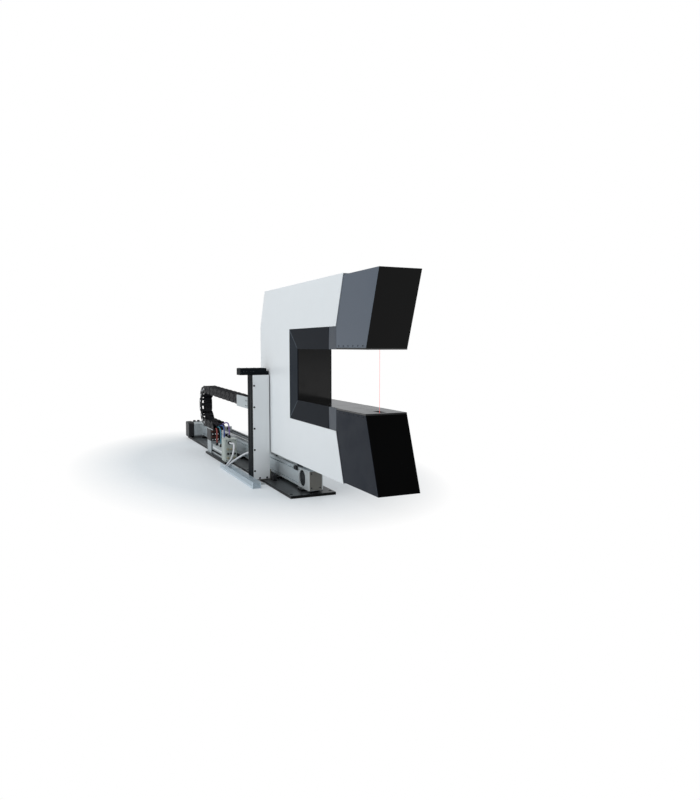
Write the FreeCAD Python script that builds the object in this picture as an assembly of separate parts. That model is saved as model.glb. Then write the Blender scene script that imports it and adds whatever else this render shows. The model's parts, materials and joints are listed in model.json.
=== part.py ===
import FreeCAD, Part
import math
import os

V = FreeCAD.Vector

# Laser thickness gauge: a C-frame with two laser heads on a belt-driven linear module.
# X runs from the rear to the nose of the heads, Y away from the side with the cables, Z up.
# The origin is the mid-length of the base plate's underside, in the mid-plane of the C-frame.

# Fits and clearances
FIT = 0.1             # pieces that seat in one another
RUNNING = 0.05        # radial play of a shaft in its bearing
BELT_PLAY = 0.3       # belt to pulley, and belt to the clamp above it
SLIDE_PLAY = 0.1      # guide block to rail, each side
STOP_PLAY = 2.0       # carriage plate to buffer at each end of the travel

# Base plate
BASE_LENGTH = 2664.0
BASE_NEAR = 152.0     # from the mid-plane to the cable side's edge
BASE_FAR = 108.0
BASE_THICK = 15.0
TAB = (-153.0, 412.0)  # tab that carries the cable connections, from the chain's fixed end
TAB_NEAR = 208.0
ANCHOR_R = 9.0
FRONT_ANCHOR_INSET = 42.0
REAR_ANCHOR_INSET = 172.0     # clear of the motor above it
ANCHOR_INSET_Y = 18.0
MIDDLE_ANCHOR_X = 480.0

# Linear module
MODULE_WIDTH = 90.0
PROFILE_HEIGHT = 110.0
FOOT_HEIGHT = 13.0
FOOT_LENGTH = 60.0
FOOT_WIDTH = 124.0
FOOT_COUNT = 7
FRONT_MARGIN = 10.0   # front cover to the base plate's front edge
REAR_MARGIN = 12.0
FRONT_COVER = 22.0
FRONT_COVER_FAR_INSET = 12.0
END_PLATE = 20.0
HOUSING_LENGTH = 120.0
HOUSING_WALL = 15.0
PROFILE_FLOOR = 5.0
CHANNEL_WIDTH = 46.0
LOWER_CHANNEL = 27.0
UPPER_CHANNEL = 14.0
HOLLOW_WIDTH = 56.0
WEB = 6.0
SLOT_WIDTH = 8.0
SLOT_DEPTH = 9.0
SLOT_INSET = 20.0     # slot's middle from the profile's top and underside
EDGE_CHAMFER = 3.0

# Belt, pulleys and shafts
PULLEY_R = 44.7
BELT_THICK = 4.0
BELT_WIDTH = 42.0
SHAFT_R = 12.0
BEARING_R = 21.0
BEARING_WIDTH = 9.0
CAP_R = 46.0
CAP_THICK = 10.0
CAP_RECESS = 4.0

# Servo motor
MOTOR_SIZE = 124.0
MOTOR_BODY = 68.0
MOTOR_FLANGE = 12.0
MOTOR_CAP = 46.0
MOTOR_CAP_SIZE = 130.0
MOTOR_CHAMFER = 12.0
PLUG_R = 11.0
PLUG_HEIGHT = 14.0

# Guides and carriage
RAIL_SIZE = 15.0
RAIL_Y = 35.0
RAIL_INSET = 12.0
BLOCK_LENGTH = 90.0
BLOCK_WIDTH = 30.0
BLOCK_HEIGHT = 24.0
BLOCK_LIFT = 3.0
BLOCK_INSET = 5.0
CARRIAGE_LENGTH = 470.0
CARRIAGE_SETBACK = 162.0  # its front end to the base plate's front edge
CARRIAGE_WIDTH = 160.0
CARRIAGE_THICK = 16.0
TRAVEL = 1200.0
STOP_LENGTH = 20.0
STOP_WIDTH = 54.0
PAD_R = 12.0
PAD_LENGTH = 12.0
CLAMP_LENGTH = 60.0
CLAMP_WIDTH = 38.0
SWITCH_SIZE = (36.0, 13.0, 20.0)
FRONT_SWITCH_INSET = 42.0
REAR_SWITCH_INSET = 80.0

# C-frame
FRAME_OVERHANG = 28.0  # behind the carriage plate
FRAME_HEIGHT = 948.5
REAR_CHAMFER = (89.5, 207.5)
GAP = 270.0
BACK_DEPTH = 627.0    # frame's rear edge to the throat
RING = 111.0          # dark surround of the throat, along X
RING_Z = 106.0        # and along Z
RING_BEVEL = 5.0
SURROUND_DEPTH = 426.0  # throat to the end of its surround
NECK = 85.0
HEAD_LENGTH = 305.0   # at the gap
RAKE = 0.362          # run per rise of the raked ends
HEAD_STEP = 6.75      # frame's top edge over the head's
HEAD_WIDTH = 200.0
FRAME_WIDTH = 206.0
COVER = 3.0
CASING = 3.0
LINER = 4.0
RIM = 10.0            # depth of the surround and the neck panels
CORE_WIDTH = 120.0
CORE_WALL = 8.0
CORE_INSET = 16.0
WINDOW_INSET = 110.0
STANDOFF_R = 9.0

# Laser heads
SHELL = 4.0
LASER_REACH = 241.0   # head's rear end to the beam
CLOSING_PLATE = 7.0
APERTURE = (74.0, 30.0)
GLASS_LEDGE = 5.0
GLASS = 3.0
SENSOR = (64.0, 70.0, 150.0)
SENSOR_LIFT = 8.0
BRACKET = 10.0
BRACKET_WIDTH = 60.0
BRACKET_PAD = (130.0, 84.0)

# Reference post beside the frame
POST_OFFSET = 150.0   # carriage plate's rear end to the post's front face
POST_DEPTH = 110.0
POST_NEAR = 208.0
POST_FAR = 109.0
POST_FOOT = 6.0
ANGLE_REACH = 37.0    # from the post's far face over the base plate
ANGLE_HEIGHT = 54.0
ANGLE_THICK = 8.0
POST_PANEL = 3.0
POST_WALL = 5.0
CARRIER_NEAR = 278.0
CARRIER_FAR = 119.0
CARRIER_DEPTH = 80.0
CARRIER_HEIGHT = 36.0
CARRIER_PLATE = 4.0
TONGUE = 11.0
TONGUE_HEIGHT = 18.0

# Energy chain
PITCH = 56.0
LINK_HEIGHT = 54.0
LINK_WIDTH = 87.0
SIDE_PLATE = 5.0
SIDE_GAP = 0.3
BAR_LENGTH = 20.0
BAR_THICK = 5.0
END_FACETS = 4
BEND_LINKS = 7
LOWER_LINKS = 4
UPPER_LINKS = 17
UPPER_TILT = 0.8      # degrees that the upper run hangs down towards its moving end
CHAIN_Y = -156.0
TOW_REACH = 191.0     # frame's rear edge to the chain's last pin
LOWER_Z = 227.0       # middle of the lower run
BRACKET_REACH = 44.0
ARM_THICK = 6.0
ARM_DROP = 8.0
ARM_REAR_GAP = 4.0
ARM_FOOT = (40.0, 60.0)

# Cable connections on the base plate's tab, with X from the chain's fixed end
SHELF = (-144.0, 51.0)
SHELF_THICK = 6.0
STAND_X = (-138.0, -28.0)
STAND_Y = (-196.0, -118.0)
STAND_TOP = 108.0
STAND_WALL = 5.0
CLAMP_BLOCK_X = (-132.0, -15.0)
CONNECTION_Y = (-200.0, -118.0)
VALVE_X = (42.0, 301.0)
VALVE_TOP = 92.0
VALVE_BASE = 12.0
STATION_COUNT = 8
STATION_GAP = 2.0
TERMINAL_X = (313.0, 403.0)
TERMINAL_TOP = 174.0
BOX_FILLET = 5.0
PLUG_BODY_R = 10.0
PLUG_BODY = 22.0
GLAND_R = 12.0
GLAND_LENGTH = 14.0

# Slotted cable duct on the floor
DUCT_START = 509.0    # from the chain's fixed end
DUCT_LENGTH = 743.0
DUCT_NEAR = 262.0
DUCT_FAR = 214.0
DUCT_HEIGHT = 38.0
DUCT_WALL = 2.0
DUCT_SLOT = 10.0
DUCT_TOOTH = 12.0
DUCT_SOLID = 12.0
TIE_BAR = (40.0, 4.0)
TIE_BAR_INSET = 90.0

# Places that follow from the sizes above
BASE_FRONT = BASE_LENGTH / 2
PROFILE_Z = BASE_THICK + FOOT_HEIGHT
PROFILE_TOP = PROFILE_Z + PROFILE_HEIGHT
AXLE_Z = PROFILE_Z + PROFILE_HEIGHT / 2
HALF_MODULE = MODULE_WIDTH / 2
COVER_X = BASE_FRONT - FRONT_MARGIN - FRONT_COVER
FRONT_HOUSING = COVER_X - END_PLATE
PROFILE_FRONT = FRONT_HOUSING - HOUSING_LENGTH
REAR_HOUSING = REAR_MARGIN - BASE_FRONT
PROFILE_REAR = REAR_HOUSING + HOUSING_LENGTH
FRONT_AXLE = PROFILE_FRONT + HOUSING_LENGTH / 2
REAR_AXLE = REAR_HOUSING + HOUSING_LENGTH / 2
BELT_IN = PULLEY_R + BELT_PLAY
BELT_OUT = BELT_IN + BELT_THICK
CARRIAGE_FRONT = BASE_FRONT - CARRIAGE_SETBACK
CARRIAGE_REAR = CARRIAGE_FRONT - CARRIAGE_LENGTH
BLOCK_TOP = PROFILE_TOP + BLOCK_LIFT + BLOCK_HEIGHT
FRAME_BOTTOM = BLOCK_TOP + CARRIAGE_THICK
FRAME_TOP = FRAME_BOTTOM + FRAME_HEIGHT
PASSLINE = (FRAME_BOTTOM + FRAME_TOP) / 2
FRAME_REAR = CARRIAGE_REAR - FRAME_OVERHANG
THROAT_X = FRAME_REAR + BACK_DEPTH
JOINT_X = THROAT_X + SURROUND_DEPTH
HEAD_REAR = JOINT_X + NECK
NOSE_X = HEAD_REAR + HEAD_LENGTH
LASER_X = HEAD_REAR + LASER_REACH
HEAD_HEIGHT = (FRAME_HEIGHT - GAP) / 2 - HEAD_STEP
GAP_LOW = PASSLINE - GAP / 2
GAP_HIGH = PASSLINE + GAP / 2
RING_LOW = GAP_LOW - RING_Z
RING_HIGH = GAP_HIGH + RING_Z
RING_X = THROAT_X - RING
HALF_FRAME = FRAME_WIDTH / 2
HALF_SHELL = HALF_FRAME - COVER
HALF_HEAD = HEAD_WIDTH / 2
HALF_CORE = CORE_WIDTH / 2
RIM_IN = HALF_FRAME - RIM
POST_FRONT = CARRIAGE_REAR + POST_OFFSET
POST_REAR = POST_FRONT - POST_DEPTH
POST_TOP = PASSLINE - CARRIER_HEIGHT / 2
POST_BASE = BASE_THICK + POST_FOOT
LINK_PLAY = SIDE_PLATE + SIDE_GAP
BEND_RADIUS = PITCH / 2 / math.sin(math.pi / 2 / BEND_LINKS)
UPPER_Z = LOWER_Z + 2 * BEND_RADIUS
UPPER_END_X = FRAME_REAR - TOW_REACH
BEND_X = UPPER_END_X - UPPER_LINKS * PITCH * math.cos(math.radians(UPPER_TILT))
LOWER_END = BEND_X + LOWER_LINKS * PITCH
DUCT_REAR = LOWER_END + DUCT_START
DUCT_FRONT = DUCT_REAR + DUCT_LENGTH
UPPER_END_Z = UPPER_Z - UPPER_LINKS * PITCH * math.sin(math.radians(UPPER_TILT))
SHELF_TOP = LOWER_Z - LINK_HEIGHT / 2

# Leads and cables, hand-chosen routes with X from the chain's fixed end
LEAD_D = 9.0
CABLE_D = 12.0
TUBE_SIDES = 6
LEAD_START = 61.0
PURPLE_ROUTE = [(LEAD_START, -132, 238), (109, -133, 247), (163, -136, 259), (219, -140, 266),
                (273, -145, 268), (313, -150, 262), (339, -154, 246), (351, -156, 221),
                (351, -156, TERMINAL_TOP + PLUG_BODY)]
BLUE_ROUTE = [(LEAD_START, -147, 228), (101, -149, 233), (143, -153, 238), (191, -158, 240), (235, -165, 234),
              (263, -169, 221), (279, -173, 198), (285, -176, 172), (285, -177, 144),
              (285, -177, VALVE_TOP + PLUG_BODY)]
TEAL_ROUTE = [(LEAD_START, -163, 219), (95, -165, 221), (135, -168, 218), (169, -171, 203), (191, -175, 176),
              (199, -177, 146), (199, -177, VALVE_TOP + PLUG_BODY)]
RED_ROUTE = [(LEAD_START, -179, 209), (81, -180, 208), (105, -182, 196), (119, -185, 172),
             (119, -186, 144), (119, -186, VALVE_TOP + PLUG_BODY)]
CABLE_A_ROUTE = [(TERMINAL_X[1] + GLAND_LENGTH, -170, 148), (465, -170, 148), (519, -175, 160),
                 (573, -184, 158), (615, -196, 138), (635, -207, 106), (631, -218, 76), (611, -228, 50),
                 (587, -237, 30), (563, -240, 16)]
CABLE_B_ROUTE = [(POST_REAR - LOWER_END - GLAND_LENGTH, -165, 150), (931, -165, 150), (887, -172, 151),
                 (837, -181, 138), (783, -193, 116), (727, -206, 91), (675, -218, 66), (635, -227, 44),
                 (605, -230, 26), (579, -227, 14)]
LEADS = [("purple_lead", PURPLE_ROUTE), ("blue_lead", BLUE_ROUTE),
         ("teal_lead", TEAL_ROUTE), ("red_lead", RED_ROUTE)]
CABLES = [("grey_cable", CABLE_A_ROUTE), ("post_cable", CABLE_B_ROUTE)]


# Small makers
def from_chain(span):
    """Span along X that is given from the chain's fixed end."""
    return LOWER_END + span[0], LOWER_END + span[1]


def point_from_chain(point):
    return LOWER_END + point[0], point[1], point[2]


def box(x, y, z):
    return Part.makeBox(x[1] - x[0], y[1] - y[0], z[1] - z[0], V(x[0], y[0], z[0]))


def prism_y(points, y):
    outline = [V(px, y[0], pz) for px, pz in points]
    return Part.Face(Part.makePolygon(outline + outline[:1])).extrude(V(0, y[1] - y[0], 0))


def prism_x(points, x):
    outline = [V(x[0], py, pz) for py, pz in points]
    return Part.Face(Part.makePolygon(outline + outline[:1])).extrude(V(x[1] - x[0], 0, 0))


def rod_y(r, x, y, z):
    return Part.makeCylinder(r, y[1] - y[0], V(x, y[0], z), V(0, 1, 0))


def rod_x(r, x, y, z):
    return Part.makeCylinder(r, x[1] - x[0], V(x[0], y, z), V(1, 0, 0))


def rod_z(r, x, y, z):
    return Part.makeCylinder(r, z[1] - z[0], V(x, y, z[0]), V(0, 0, 1))


def ring_y(outer, inner, x, y, z):
    return rod_y(outer, x, y, z).cut(rod_y(inner, x, y, z))


def funnel(mouth, floor):
    """Solid between two four-sided openings, with flat sides."""
    count = len(mouth)
    sides = [[mouth[i], mouth[(i + 1) % count], floor[(i + 1) % count], floor[i]] for i in range(count)]
    loops = [mouth, floor] + sides
    return Part.Solid(Part.makeShell([Part.Face(Part.makePolygon(loop + loop[:1])) for loop in loops]))


def mirrored(shape):
    return shape.mirror(V(0, 0, 0), V(0, 1, 0))


def flipped(shape):
    return shape.mirror(V(0, 0, PASSLINE), V(0, 0, 1))


def save(name, shape):
    solids = shape.Solids
    if not solids or not all(solid.isValid() for solid in solids):
        raise ValueError(name + " has no valid solid")
    whole = solids[0] if len(solids) == 1 else Part.makeCompound(solids)
    whole.exportStep("parts/" + name + ".step")


def group(name, shapes):
    save(name, Part.makeCompound(shapes))


# Base plate with its connection tab and anchor holes
def anchor_places():
    rear, front = REAR_ANCHOR_INSET - BASE_FRONT, BASE_FRONT - FRONT_ANCHOR_INSET
    along = (rear, -MIDDLE_ANCHOR_X, MIDDLE_ANCHOR_X, front)
    return [(px, py) for px in along for py in (ANCHOR_INSET_Y - BASE_NEAR, BASE_FAR - ANCHOR_INSET_Y)]


def base_plate():
    rear, front = from_chain(TAB)
    outline = [(-BASE_FRONT, BASE_FAR), (-BASE_FRONT, -BASE_NEAR), (rear, -BASE_NEAR), (rear, -TAB_NEAR),
               (front, -TAB_NEAR), (front, -BASE_NEAR), (BASE_FRONT, -BASE_NEAR), (BASE_FRONT, BASE_FAR)]
    corners = [V(px, py, 0) for px, py in outline]
    plate = Part.Face(Part.makePolygon(corners + corners[:1])).extrude(V(0, 0, BASE_THICK))
    for px, py in anchor_places():
        plate = plate.cut(rod_z(ANCHOR_R, px, py, (0, BASE_THICK)))
    return plate


# Extruded module profile: side slots, open belt channel, return channel and hollow web
def profile_outline():
    low, high, half, slot = PROFILE_Z, PROFILE_TOP, HALF_MODULE, SLOT_WIDTH / 2
    side = [(half - EDGE_CHAMFER, low), (half, low + EDGE_CHAMFER)]
    for middle in (low + SLOT_INSET, high - SLOT_INSET):
        side += [(half, middle - slot), (half - SLOT_DEPTH, middle - slot),
                 (half - SLOT_DEPTH, middle + slot), (half, middle + slot)]
    side += [(half, high - EDGE_CHAMFER), (half - EDGE_CHAMFER, high)]
    side += [(CHANNEL_WIDTH / 2, high), (CHANNEL_WIDTH / 2, high - UPPER_CHANNEL)]
    return side + [(-py, pz) for py, pz in reversed(side)]


def module_profile():
    span = (PROFILE_REAR, PROFILE_FRONT)
    profile = prism_x(profile_outline(), span)
    half = CHANNEL_WIDTH / 2
    floor = PROFILE_Z + PROFILE_FLOOR
    lower_top = floor + LOWER_CHANNEL
    hollow = HOLLOW_WIDTH / 2
    profile = profile.cut(box(span, (-half, half), (floor, lower_top)))
    return profile.cut(box(span, (-hollow, hollow), (lower_top + WEB, PROFILE_TOP - UPPER_CHANNEL - WEB)))


def module_feet():
    first = PROFILE_REAR + RAIL_INSET
    step = (FRONT_AXLE - FOOT_LENGTH / 2 - first) / (FOOT_COUNT - 1)
    half = FOOT_WIDTH / 2
    return [box((first + i * step, first + i * step + FOOT_LENGTH), (-half, half), (BASE_THICK, PROFILE_Z))
            for i in range(FOOT_COUNT)]


# Pulley housing: cap seats through both walls, belt channels towards the profile
def pulley_housing(start, axle, towards):
    wall = HALF_MODULE - HOUSING_WALL
    block = box((start, start + HOUSING_LENGTH), (-HALF_MODULE, HALF_MODULE), (PROFILE_Z, PROFILE_TOP))
    block = block.cut(rod_y(CAP_R, axle, (-HALF_MODULE, HALF_MODULE), AXLE_Z))
    block = block.cut(rod_y(BELT_OUT + 2 * BELT_PLAY, axle, (-wall, wall), AXLE_Z))
    half = CHANNEL_WIDTH / 2
    span = (axle, start + HOUSING_LENGTH) if towards > 0 else (start, axle)
    low = AXLE_Z - BELT_OUT - 2 * BELT_PLAY
    return block.cut(box(span, (-half, half), (low, AXLE_Z + BELT_OUT + 2 * BELT_PLAY)))


def shaft_bearings(axle):
    """Ball bearing and its flanged cap on both sides of a housing."""
    face = HALF_MODULE - CAP_RECESS
    cap = ring_y(CAP_R - FIT, BEARING_R + FIT, axle, (-face, CAP_THICK - face), AXLE_Z)
    bearing = ring_y(BEARING_R, SHAFT_R + RUNNING, axle, (-face, BEARING_WIDTH - face), AXLE_Z)
    return [cap, bearing, mirrored(cap), mirrored(bearing)]


def drive_belt():
    half = BELT_WIDTH / 2

    def loop(r):
        shape = box((REAR_AXLE, FRONT_AXLE), (-half, half), (AXLE_Z - r, AXLE_Z + r))
        for axle in (REAR_AXLE, FRONT_AXLE):
            shape = shape.fuse(rod_y(r, axle, (-half, half), AXLE_Z))
        return shape.removeSplitter()

    return loop(BELT_OUT).cut(loop(BELT_IN))


def pulley(axle):
    half = CHANNEL_WIDTH / 2 - 1
    return ring_y(PULLEY_R, SHAFT_R + FIT, axle, (-half, half), AXLE_Z)


def idler_shaft():
    end = HALF_MODULE - CAP_RECESS
    return rod_y(SHAFT_R, FRONT_AXLE, (-end, end), AXLE_Z)


def drive_shaft():
    return rod_y(SHAFT_R, REAR_AXLE, (motor_places()[0] + FIT, HALF_MODULE - CAP_RECESS), AXLE_Z)


# End pieces of the module
def front_end_plate():
    return box((FRONT_HOUSING, COVER_X), (-HALF_MODULE, HALF_MODULE), (PROFILE_Z, PROFILE_TOP))


def front_cover():
    span = (COVER_X, COVER_X + FRONT_COVER)
    cover = box(span, (-HALF_MODULE, HALF_MODULE - FRONT_COVER_FAR_INSET), (PROFILE_Z, PROFILE_TOP))
    edges = [edge for edge in cover.Edges if all(abs(v.X - span[1]) < FIT for v in edge.Vertexes)]
    return cover.makeChamfer(EDGE_CHAMFER, edges)


# Servo motor across the module's rear end
def motor_block(size, y):
    half = size / 2
    chamfer = MOTOR_CHAMFER
    corner = [(half, chamfer - half), (half, half - chamfer), (half - chamfer, half), (chamfer - half, half)]
    outline = [(REAR_AXLE + px, AXLE_Z + pz) for px, pz in corner + [(-a, -b) for a, b in corner]]
    return prism_y(outline, y)


def motor_places():
    flange = -HALF_MODULE - MOTOR_FLANGE
    body = flange - MOTOR_BODY
    return flange, body, body - MOTOR_CAP


def motor_flange():
    flange = motor_places()[0]
    plate = motor_block(MOTOR_SIZE, (flange, -HALF_MODULE))
    return plate.cut(rod_y(SHAFT_R + RUNNING, REAR_AXLE, (flange, -HALF_MODULE), AXLE_Z))


def motor_body():
    flange, body, end = motor_places()
    shell = motor_block(MOTOR_SIZE, (body, flange))
    depth = MOTOR_CHAMFER / 4
    half = MOTOR_SIZE / 2
    fins = int((MOTOR_BODY - MOTOR_CHAMFER) / MOTOR_CHAMFER)
    for i in range(fins):
        start = body + MOTOR_CHAMFER / 2 + (i + 0.5) * MOTOR_CHAMFER
        groove = (start, start + MOTOR_CHAMFER / 3)
        front = (REAR_AXLE + half - depth, REAR_AXLE + half)
        shell = shell.cut(box(front, groove, (AXLE_Z - half, AXLE_Z + half)))
    return shell


def motor_end_cap():
    flange, body, end = motor_places()
    cap = motor_block(MOTOR_CAP_SIZE, (end, body))
    edges = [edge for edge in cap.Edges if all(abs(v.Y - end) < FIT for v in edge.Vertexes)]
    return cap.makeChamfer(EDGE_CHAMFER, edges)


def motor_sockets():
    flange, body, end = motor_places()
    top = AXLE_Z + MOTOR_SIZE / 2
    return [rod_z(PLUG_R, REAR_AXLE, body + MOTOR_BODY * share, (top, top + PLUG_HEIGHT))
            for share in (0.25, 0.75)]


# Guides, guide blocks and carriage plate
def guide_rails():
    half = RAIL_SIZE / 2
    span = (PROFILE_REAR + RAIL_INSET, PROFILE_FRONT - RAIL_INSET)
    rail = box(span, (RAIL_Y - half, RAIL_Y + half), (PROFILE_TOP, PROFILE_TOP + RAIL_SIZE))
    return [rail, mirrored(rail)]


def guide_blocks():
    half = BLOCK_WIDTH / 2
    groove = RAIL_SIZE / 2 + SLIDE_PLAY
    low = PROFILE_TOP + BLOCK_LIFT
    rail_top = PROFILE_TOP + RAIL_SIZE + SLIDE_PLAY
    blocks = []
    for start in (CARRIAGE_REAR + BLOCK_INSET, CARRIAGE_FRONT - BLOCK_INSET - BLOCK_LENGTH):
        span = (start, start + BLOCK_LENGTH)
        block = box(span, (RAIL_Y - half, RAIL_Y + half), (low, BLOCK_TOP))
        block = block.cut(box(span, (RAIL_Y - groove, RAIL_Y + groove), (low, rail_top)))
        blocks += [block, mirrored(block)]
    return blocks


def carriage_plate():
    half = CARRIAGE_WIDTH / 2
    return box((CARRIAGE_REAR, CARRIAGE_FRONT), (-half, half), (BLOCK_TOP, FRAME_BOTTOM))


def belt_clamp():
    middle = (CARRIAGE_REAR + CARRIAGE_FRONT) / 2
    half = CLAMP_WIDTH / 2
    span = (middle - CLAMP_LENGTH / 2, middle + CLAMP_LENGTH / 2)
    return box(span, (-half, half), (AXLE_Z + BELT_OUT + BELT_PLAY, BLOCK_TOP))


def stop_faces():
    return CARRIAGE_REAR - TRAVEL - STOP_PLAY, CARRIAGE_FRONT + STOP_PLAY


def travel_stops():
    """Stop blocks with their rubber pads."""
    rear, front = stop_faces()
    half = STOP_WIDTH / 2
    height = (PROFILE_TOP, FRAME_BOTTOM - STOP_PLAY)
    middle = BLOCK_TOP + CARRIAGE_THICK / 2 - PAD_R / 2
    return [box((rear - PAD_LENGTH - STOP_LENGTH, rear - PAD_LENGTH), (-half, half), height),
            box((front + PAD_LENGTH, front + PAD_LENGTH + STOP_LENGTH), (-half, half), height),
            rod_x(PAD_R, (rear - PAD_LENGTH, rear), 0, middle),
            rod_x(PAD_R, (front, front + PAD_LENGTH), 0, middle)]


def limit_switch(start):
    length, width, height = SWITCH_SIZE
    near = -HALF_MODULE
    slot = PROFILE_TOP - SLOT_INSET
    body = box((start, start + length), (near - width, near), (slot, slot + height))
    return body.fuse(rod_y(SLOT_WIDTH / 2 - FIT, start + length / 2, (near, near + SLOT_DEPTH), slot))


# Outlines of the C-frame, seen from the side
def front_line(z):
    rise = max(RING_LOW - z, z - RING_HIGH, 0)
    return HEAD_REAR + RAKE * rise


def c_outline(inset, nose):
    """Corners of the C from the throat's lower corner round the back to its upper corner."""
    low, high, rear = FRAME_BOTTOM + inset, FRAME_TOP - inset, FRAME_REAR + inset
    slant = inset * 0.5
    chamfer_x = rear + REAR_CHAMFER[0]
    chamfer_z = high - REAR_CHAMFER[1] + slant
    return [(front_line(low) - nose, low), (rear, low), (rear, chamfer_z), (chamfer_x, high),
            (front_line(high) - nose, high)]


def cover_points():
    upper = [(HEAD_REAR, RING_HIGH), (RING_X, RING_HIGH), (RING_X, RING_LOW), (HEAD_REAR, RING_LOW)]
    return c_outline(0, 0) + upper


def side_cover():
    return prism_y(cover_points(), (-HALF_FRAME, -HALF_SHELL))


def edge_casing():
    """Folded strip that closes the frame at its underside, rear, rear slope and top."""
    outer = c_outline(0, CASING)
    inner = list(reversed(c_outline(CASING, CASING)))
    return prism_y(outer + inner, (-HALF_SHELL, HALF_SHELL))


# Welded core of the C-frame: a closed box section with access windows
def core_outline(inset):
    outer = c_outline(CORE_INSET + inset, 0)
    low, high = RING_LOW + RING_Z - CORE_INSET - inset, RING_HIGH - RING_Z + CORE_INSET + inset
    back = THROAT_X - CORE_INSET - inset
    front = HEAD_REAR - inset
    floor, top = FRAME_BOTTOM + CORE_INSET + inset, FRAME_TOP - CORE_INSET - inset
    throat = [(front, high), (back, high), (back, low), (front, low)]
    return [(front, floor)] + outer[1:4] + [(front, top)] + throat


def core_windows():
    """Access windows through both webs: two in the back and one in each arm."""
    rear, front = FRAME_REAR + WINDOW_INSET, THROAT_X - WINDOW_INSET
    middle = (rear + front) / 2
    rib = WINDOW_INSET / 4
    arm = (THROAT_X, JOINT_X - CORE_INSET)
    lower = (FRAME_BOTTOM + WINDOW_INSET, GAP_LOW - WINDOW_INSET)
    upper = (GAP_HIGH + WINDOW_INSET, FRAME_TOP - WINDOW_INSET)
    places = [((rear, middle - rib), (GAP_LOW, GAP_HIGH)), ((middle + rib, front), (GAP_LOW, GAP_HIGH)),
              (arm, lower), (arm, upper)]
    return [box(x, (-HALF_CORE, HALF_CORE), z) for x, z in places]


def frame_core():
    core = prism_y(core_outline(0), (-HALF_CORE, HALF_CORE))
    hollow = prism_y(core_outline(CORE_WALL), (CORE_WALL - HALF_CORE, HALF_CORE - CORE_WALL))
    core = core.cut(hollow)
    for window in core_windows():
        core = core.cut(window)
    return core


def frame_packers():
    """Flat bars between the core and the casing, which pass the weight to the carriage plate."""
    low, high = FRAME_BOTTOM + CASING, FRAME_BOTTOM + CORE_INSET
    quarter = CARRIAGE_LENGTH / 4
    return [box((CARRIAGE_REAR + share * quarter, CARRIAGE_REAR + share * quarter + BLOCK_LENGTH / 2),
                (-HALF_CORE, HALF_CORE), (low, high)) for share in (0.5, 3)]


def standoff_places():
    rear, front = FRAME_REAR + CORE_INSET + 2 * STANDOFF_R, HEAD_REAR - 2 * CORE_INSET
    low, high = FRAME_BOTTOM + CORE_INSET + 2 * STANDOFF_R, FRAME_TOP - CORE_INSET - 2 * STANDOFF_R
    return [(rear, low), (front, low), (rear + REAR_CHAMFER[0], high), (front, high),
            (RING_X - 2 * STANDOFF_R, RING_LOW), (RING_X - 2 * STANDOFF_R, RING_HIGH), (rear, PASSLINE)]


def cover_standoffs():
    near = []
    for px, pz in standoff_places():
        turns = [math.pi * i / 3 for i in range(6)]
        hexagon = [(px + STANDOFF_R * math.cos(t), pz + STANDOFF_R * math.sin(t)) for t in turns]
        near.append(prism_y(hexagon, (-HALF_SHELL, -HALF_CORE)))
    return near + [mirrored(rod) for rod in near]


# Dark bevelled surround of the throat, one each side
def throat_surround():
    outline = [(JOINT_X, RING_LOW), (JOINT_X, GAP_LOW), (THROAT_X, GAP_LOW), (THROAT_X, GAP_HIGH),
               (JOINT_X, GAP_HIGH), (JOINT_X, RING_HIGH), (RING_X, RING_HIGH), (RING_X, RING_LOW)]
    body = prism_y(outline, (-HALF_FRAME, -RIM_IN))

    def opening(x, low, high, y):
        return [V(x, y, low), V(NOSE_X, y, low), V(NOSE_X, y, high), V(x, y, high)]

    face = opening(RING_X, RING_LOW, RING_HIGH, -HALF_FRAME)
    floor = opening(THROAT_X, GAP_LOW, GAP_HIGH, RING_BEVEL - HALF_FRAME)
    return body.cut(funnel(face, floor))


def neck_panels():
    """Flush panels between the surround and the heads, one above and one below the gap."""
    lower = box((JOINT_X, HEAD_REAR), (COVER - HALF_FRAME, -RIM_IN), (RING_LOW, GAP_LOW))
    upper = box((JOINT_X, HEAD_REAR), (COVER - HALF_FRAME, -RIM_IN), (GAP_HIGH, RING_HIGH))
    return [lower, upper]


def throat_liner():
    outer = [(HEAD_REAR, GAP_LOW - LINER), (THROAT_X - LINER, GAP_LOW - LINER),
             (THROAT_X - LINER, GAP_HIGH + LINER), (HEAD_REAR, GAP_HIGH + LINER)]
    inner = [(HEAD_REAR, GAP_HIGH), (THROAT_X, GAP_HIGH), (THROAT_X, GAP_LOW), (HEAD_REAR, GAP_LOW)]
    return prism_y(outer + inner, (-RIM_IN, RIM_IN))


def liner_ribs():
    """Bars that hold the throat liner and the surrounds on the core."""
    depth = CORE_INSET - LINER
    low, high = GAP_LOW - CORE_INSET, GAP_HIGH + LINER
    along = [(THROAT_X + RING / 2, THROAT_X + RING), (JOINT_X, HEAD_REAR)]
    ribs = [box(x, (-HALF_CORE, HALF_CORE), (low, low + depth)) for x in along]
    ribs += [box(x, (-HALF_CORE, HALF_CORE), (high, high + depth)) for x in along]
    back = THROAT_X - CORE_INSET
    middle = (PASSLINE - RING / 4, PASSLINE + RING / 4)
    return ribs + [box((back, back + depth), (-HALF_CORE, HALF_CORE), middle)]


# Upper laser head; the lower one is its mirror image in the passline
def head_outline(inset):
    low, high = GAP_HIGH + (CLOSING_PLATE if inset else 0), GAP_HIGH + HEAD_HEIGHT - inset
    slant = inset * math.hypot(1, RAKE)
    knee = RING_HIGH
    return [(HEAD_REAR + inset, low), (HEAD_REAR + inset, knee), (HEAD_REAR + RAKE * (high - knee) + inset, high),
            (NOSE_X + RAKE * (high - GAP_HIGH) - slant, high), (NOSE_X + RAKE * (low - GAP_HIGH) - slant, low)]


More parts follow.
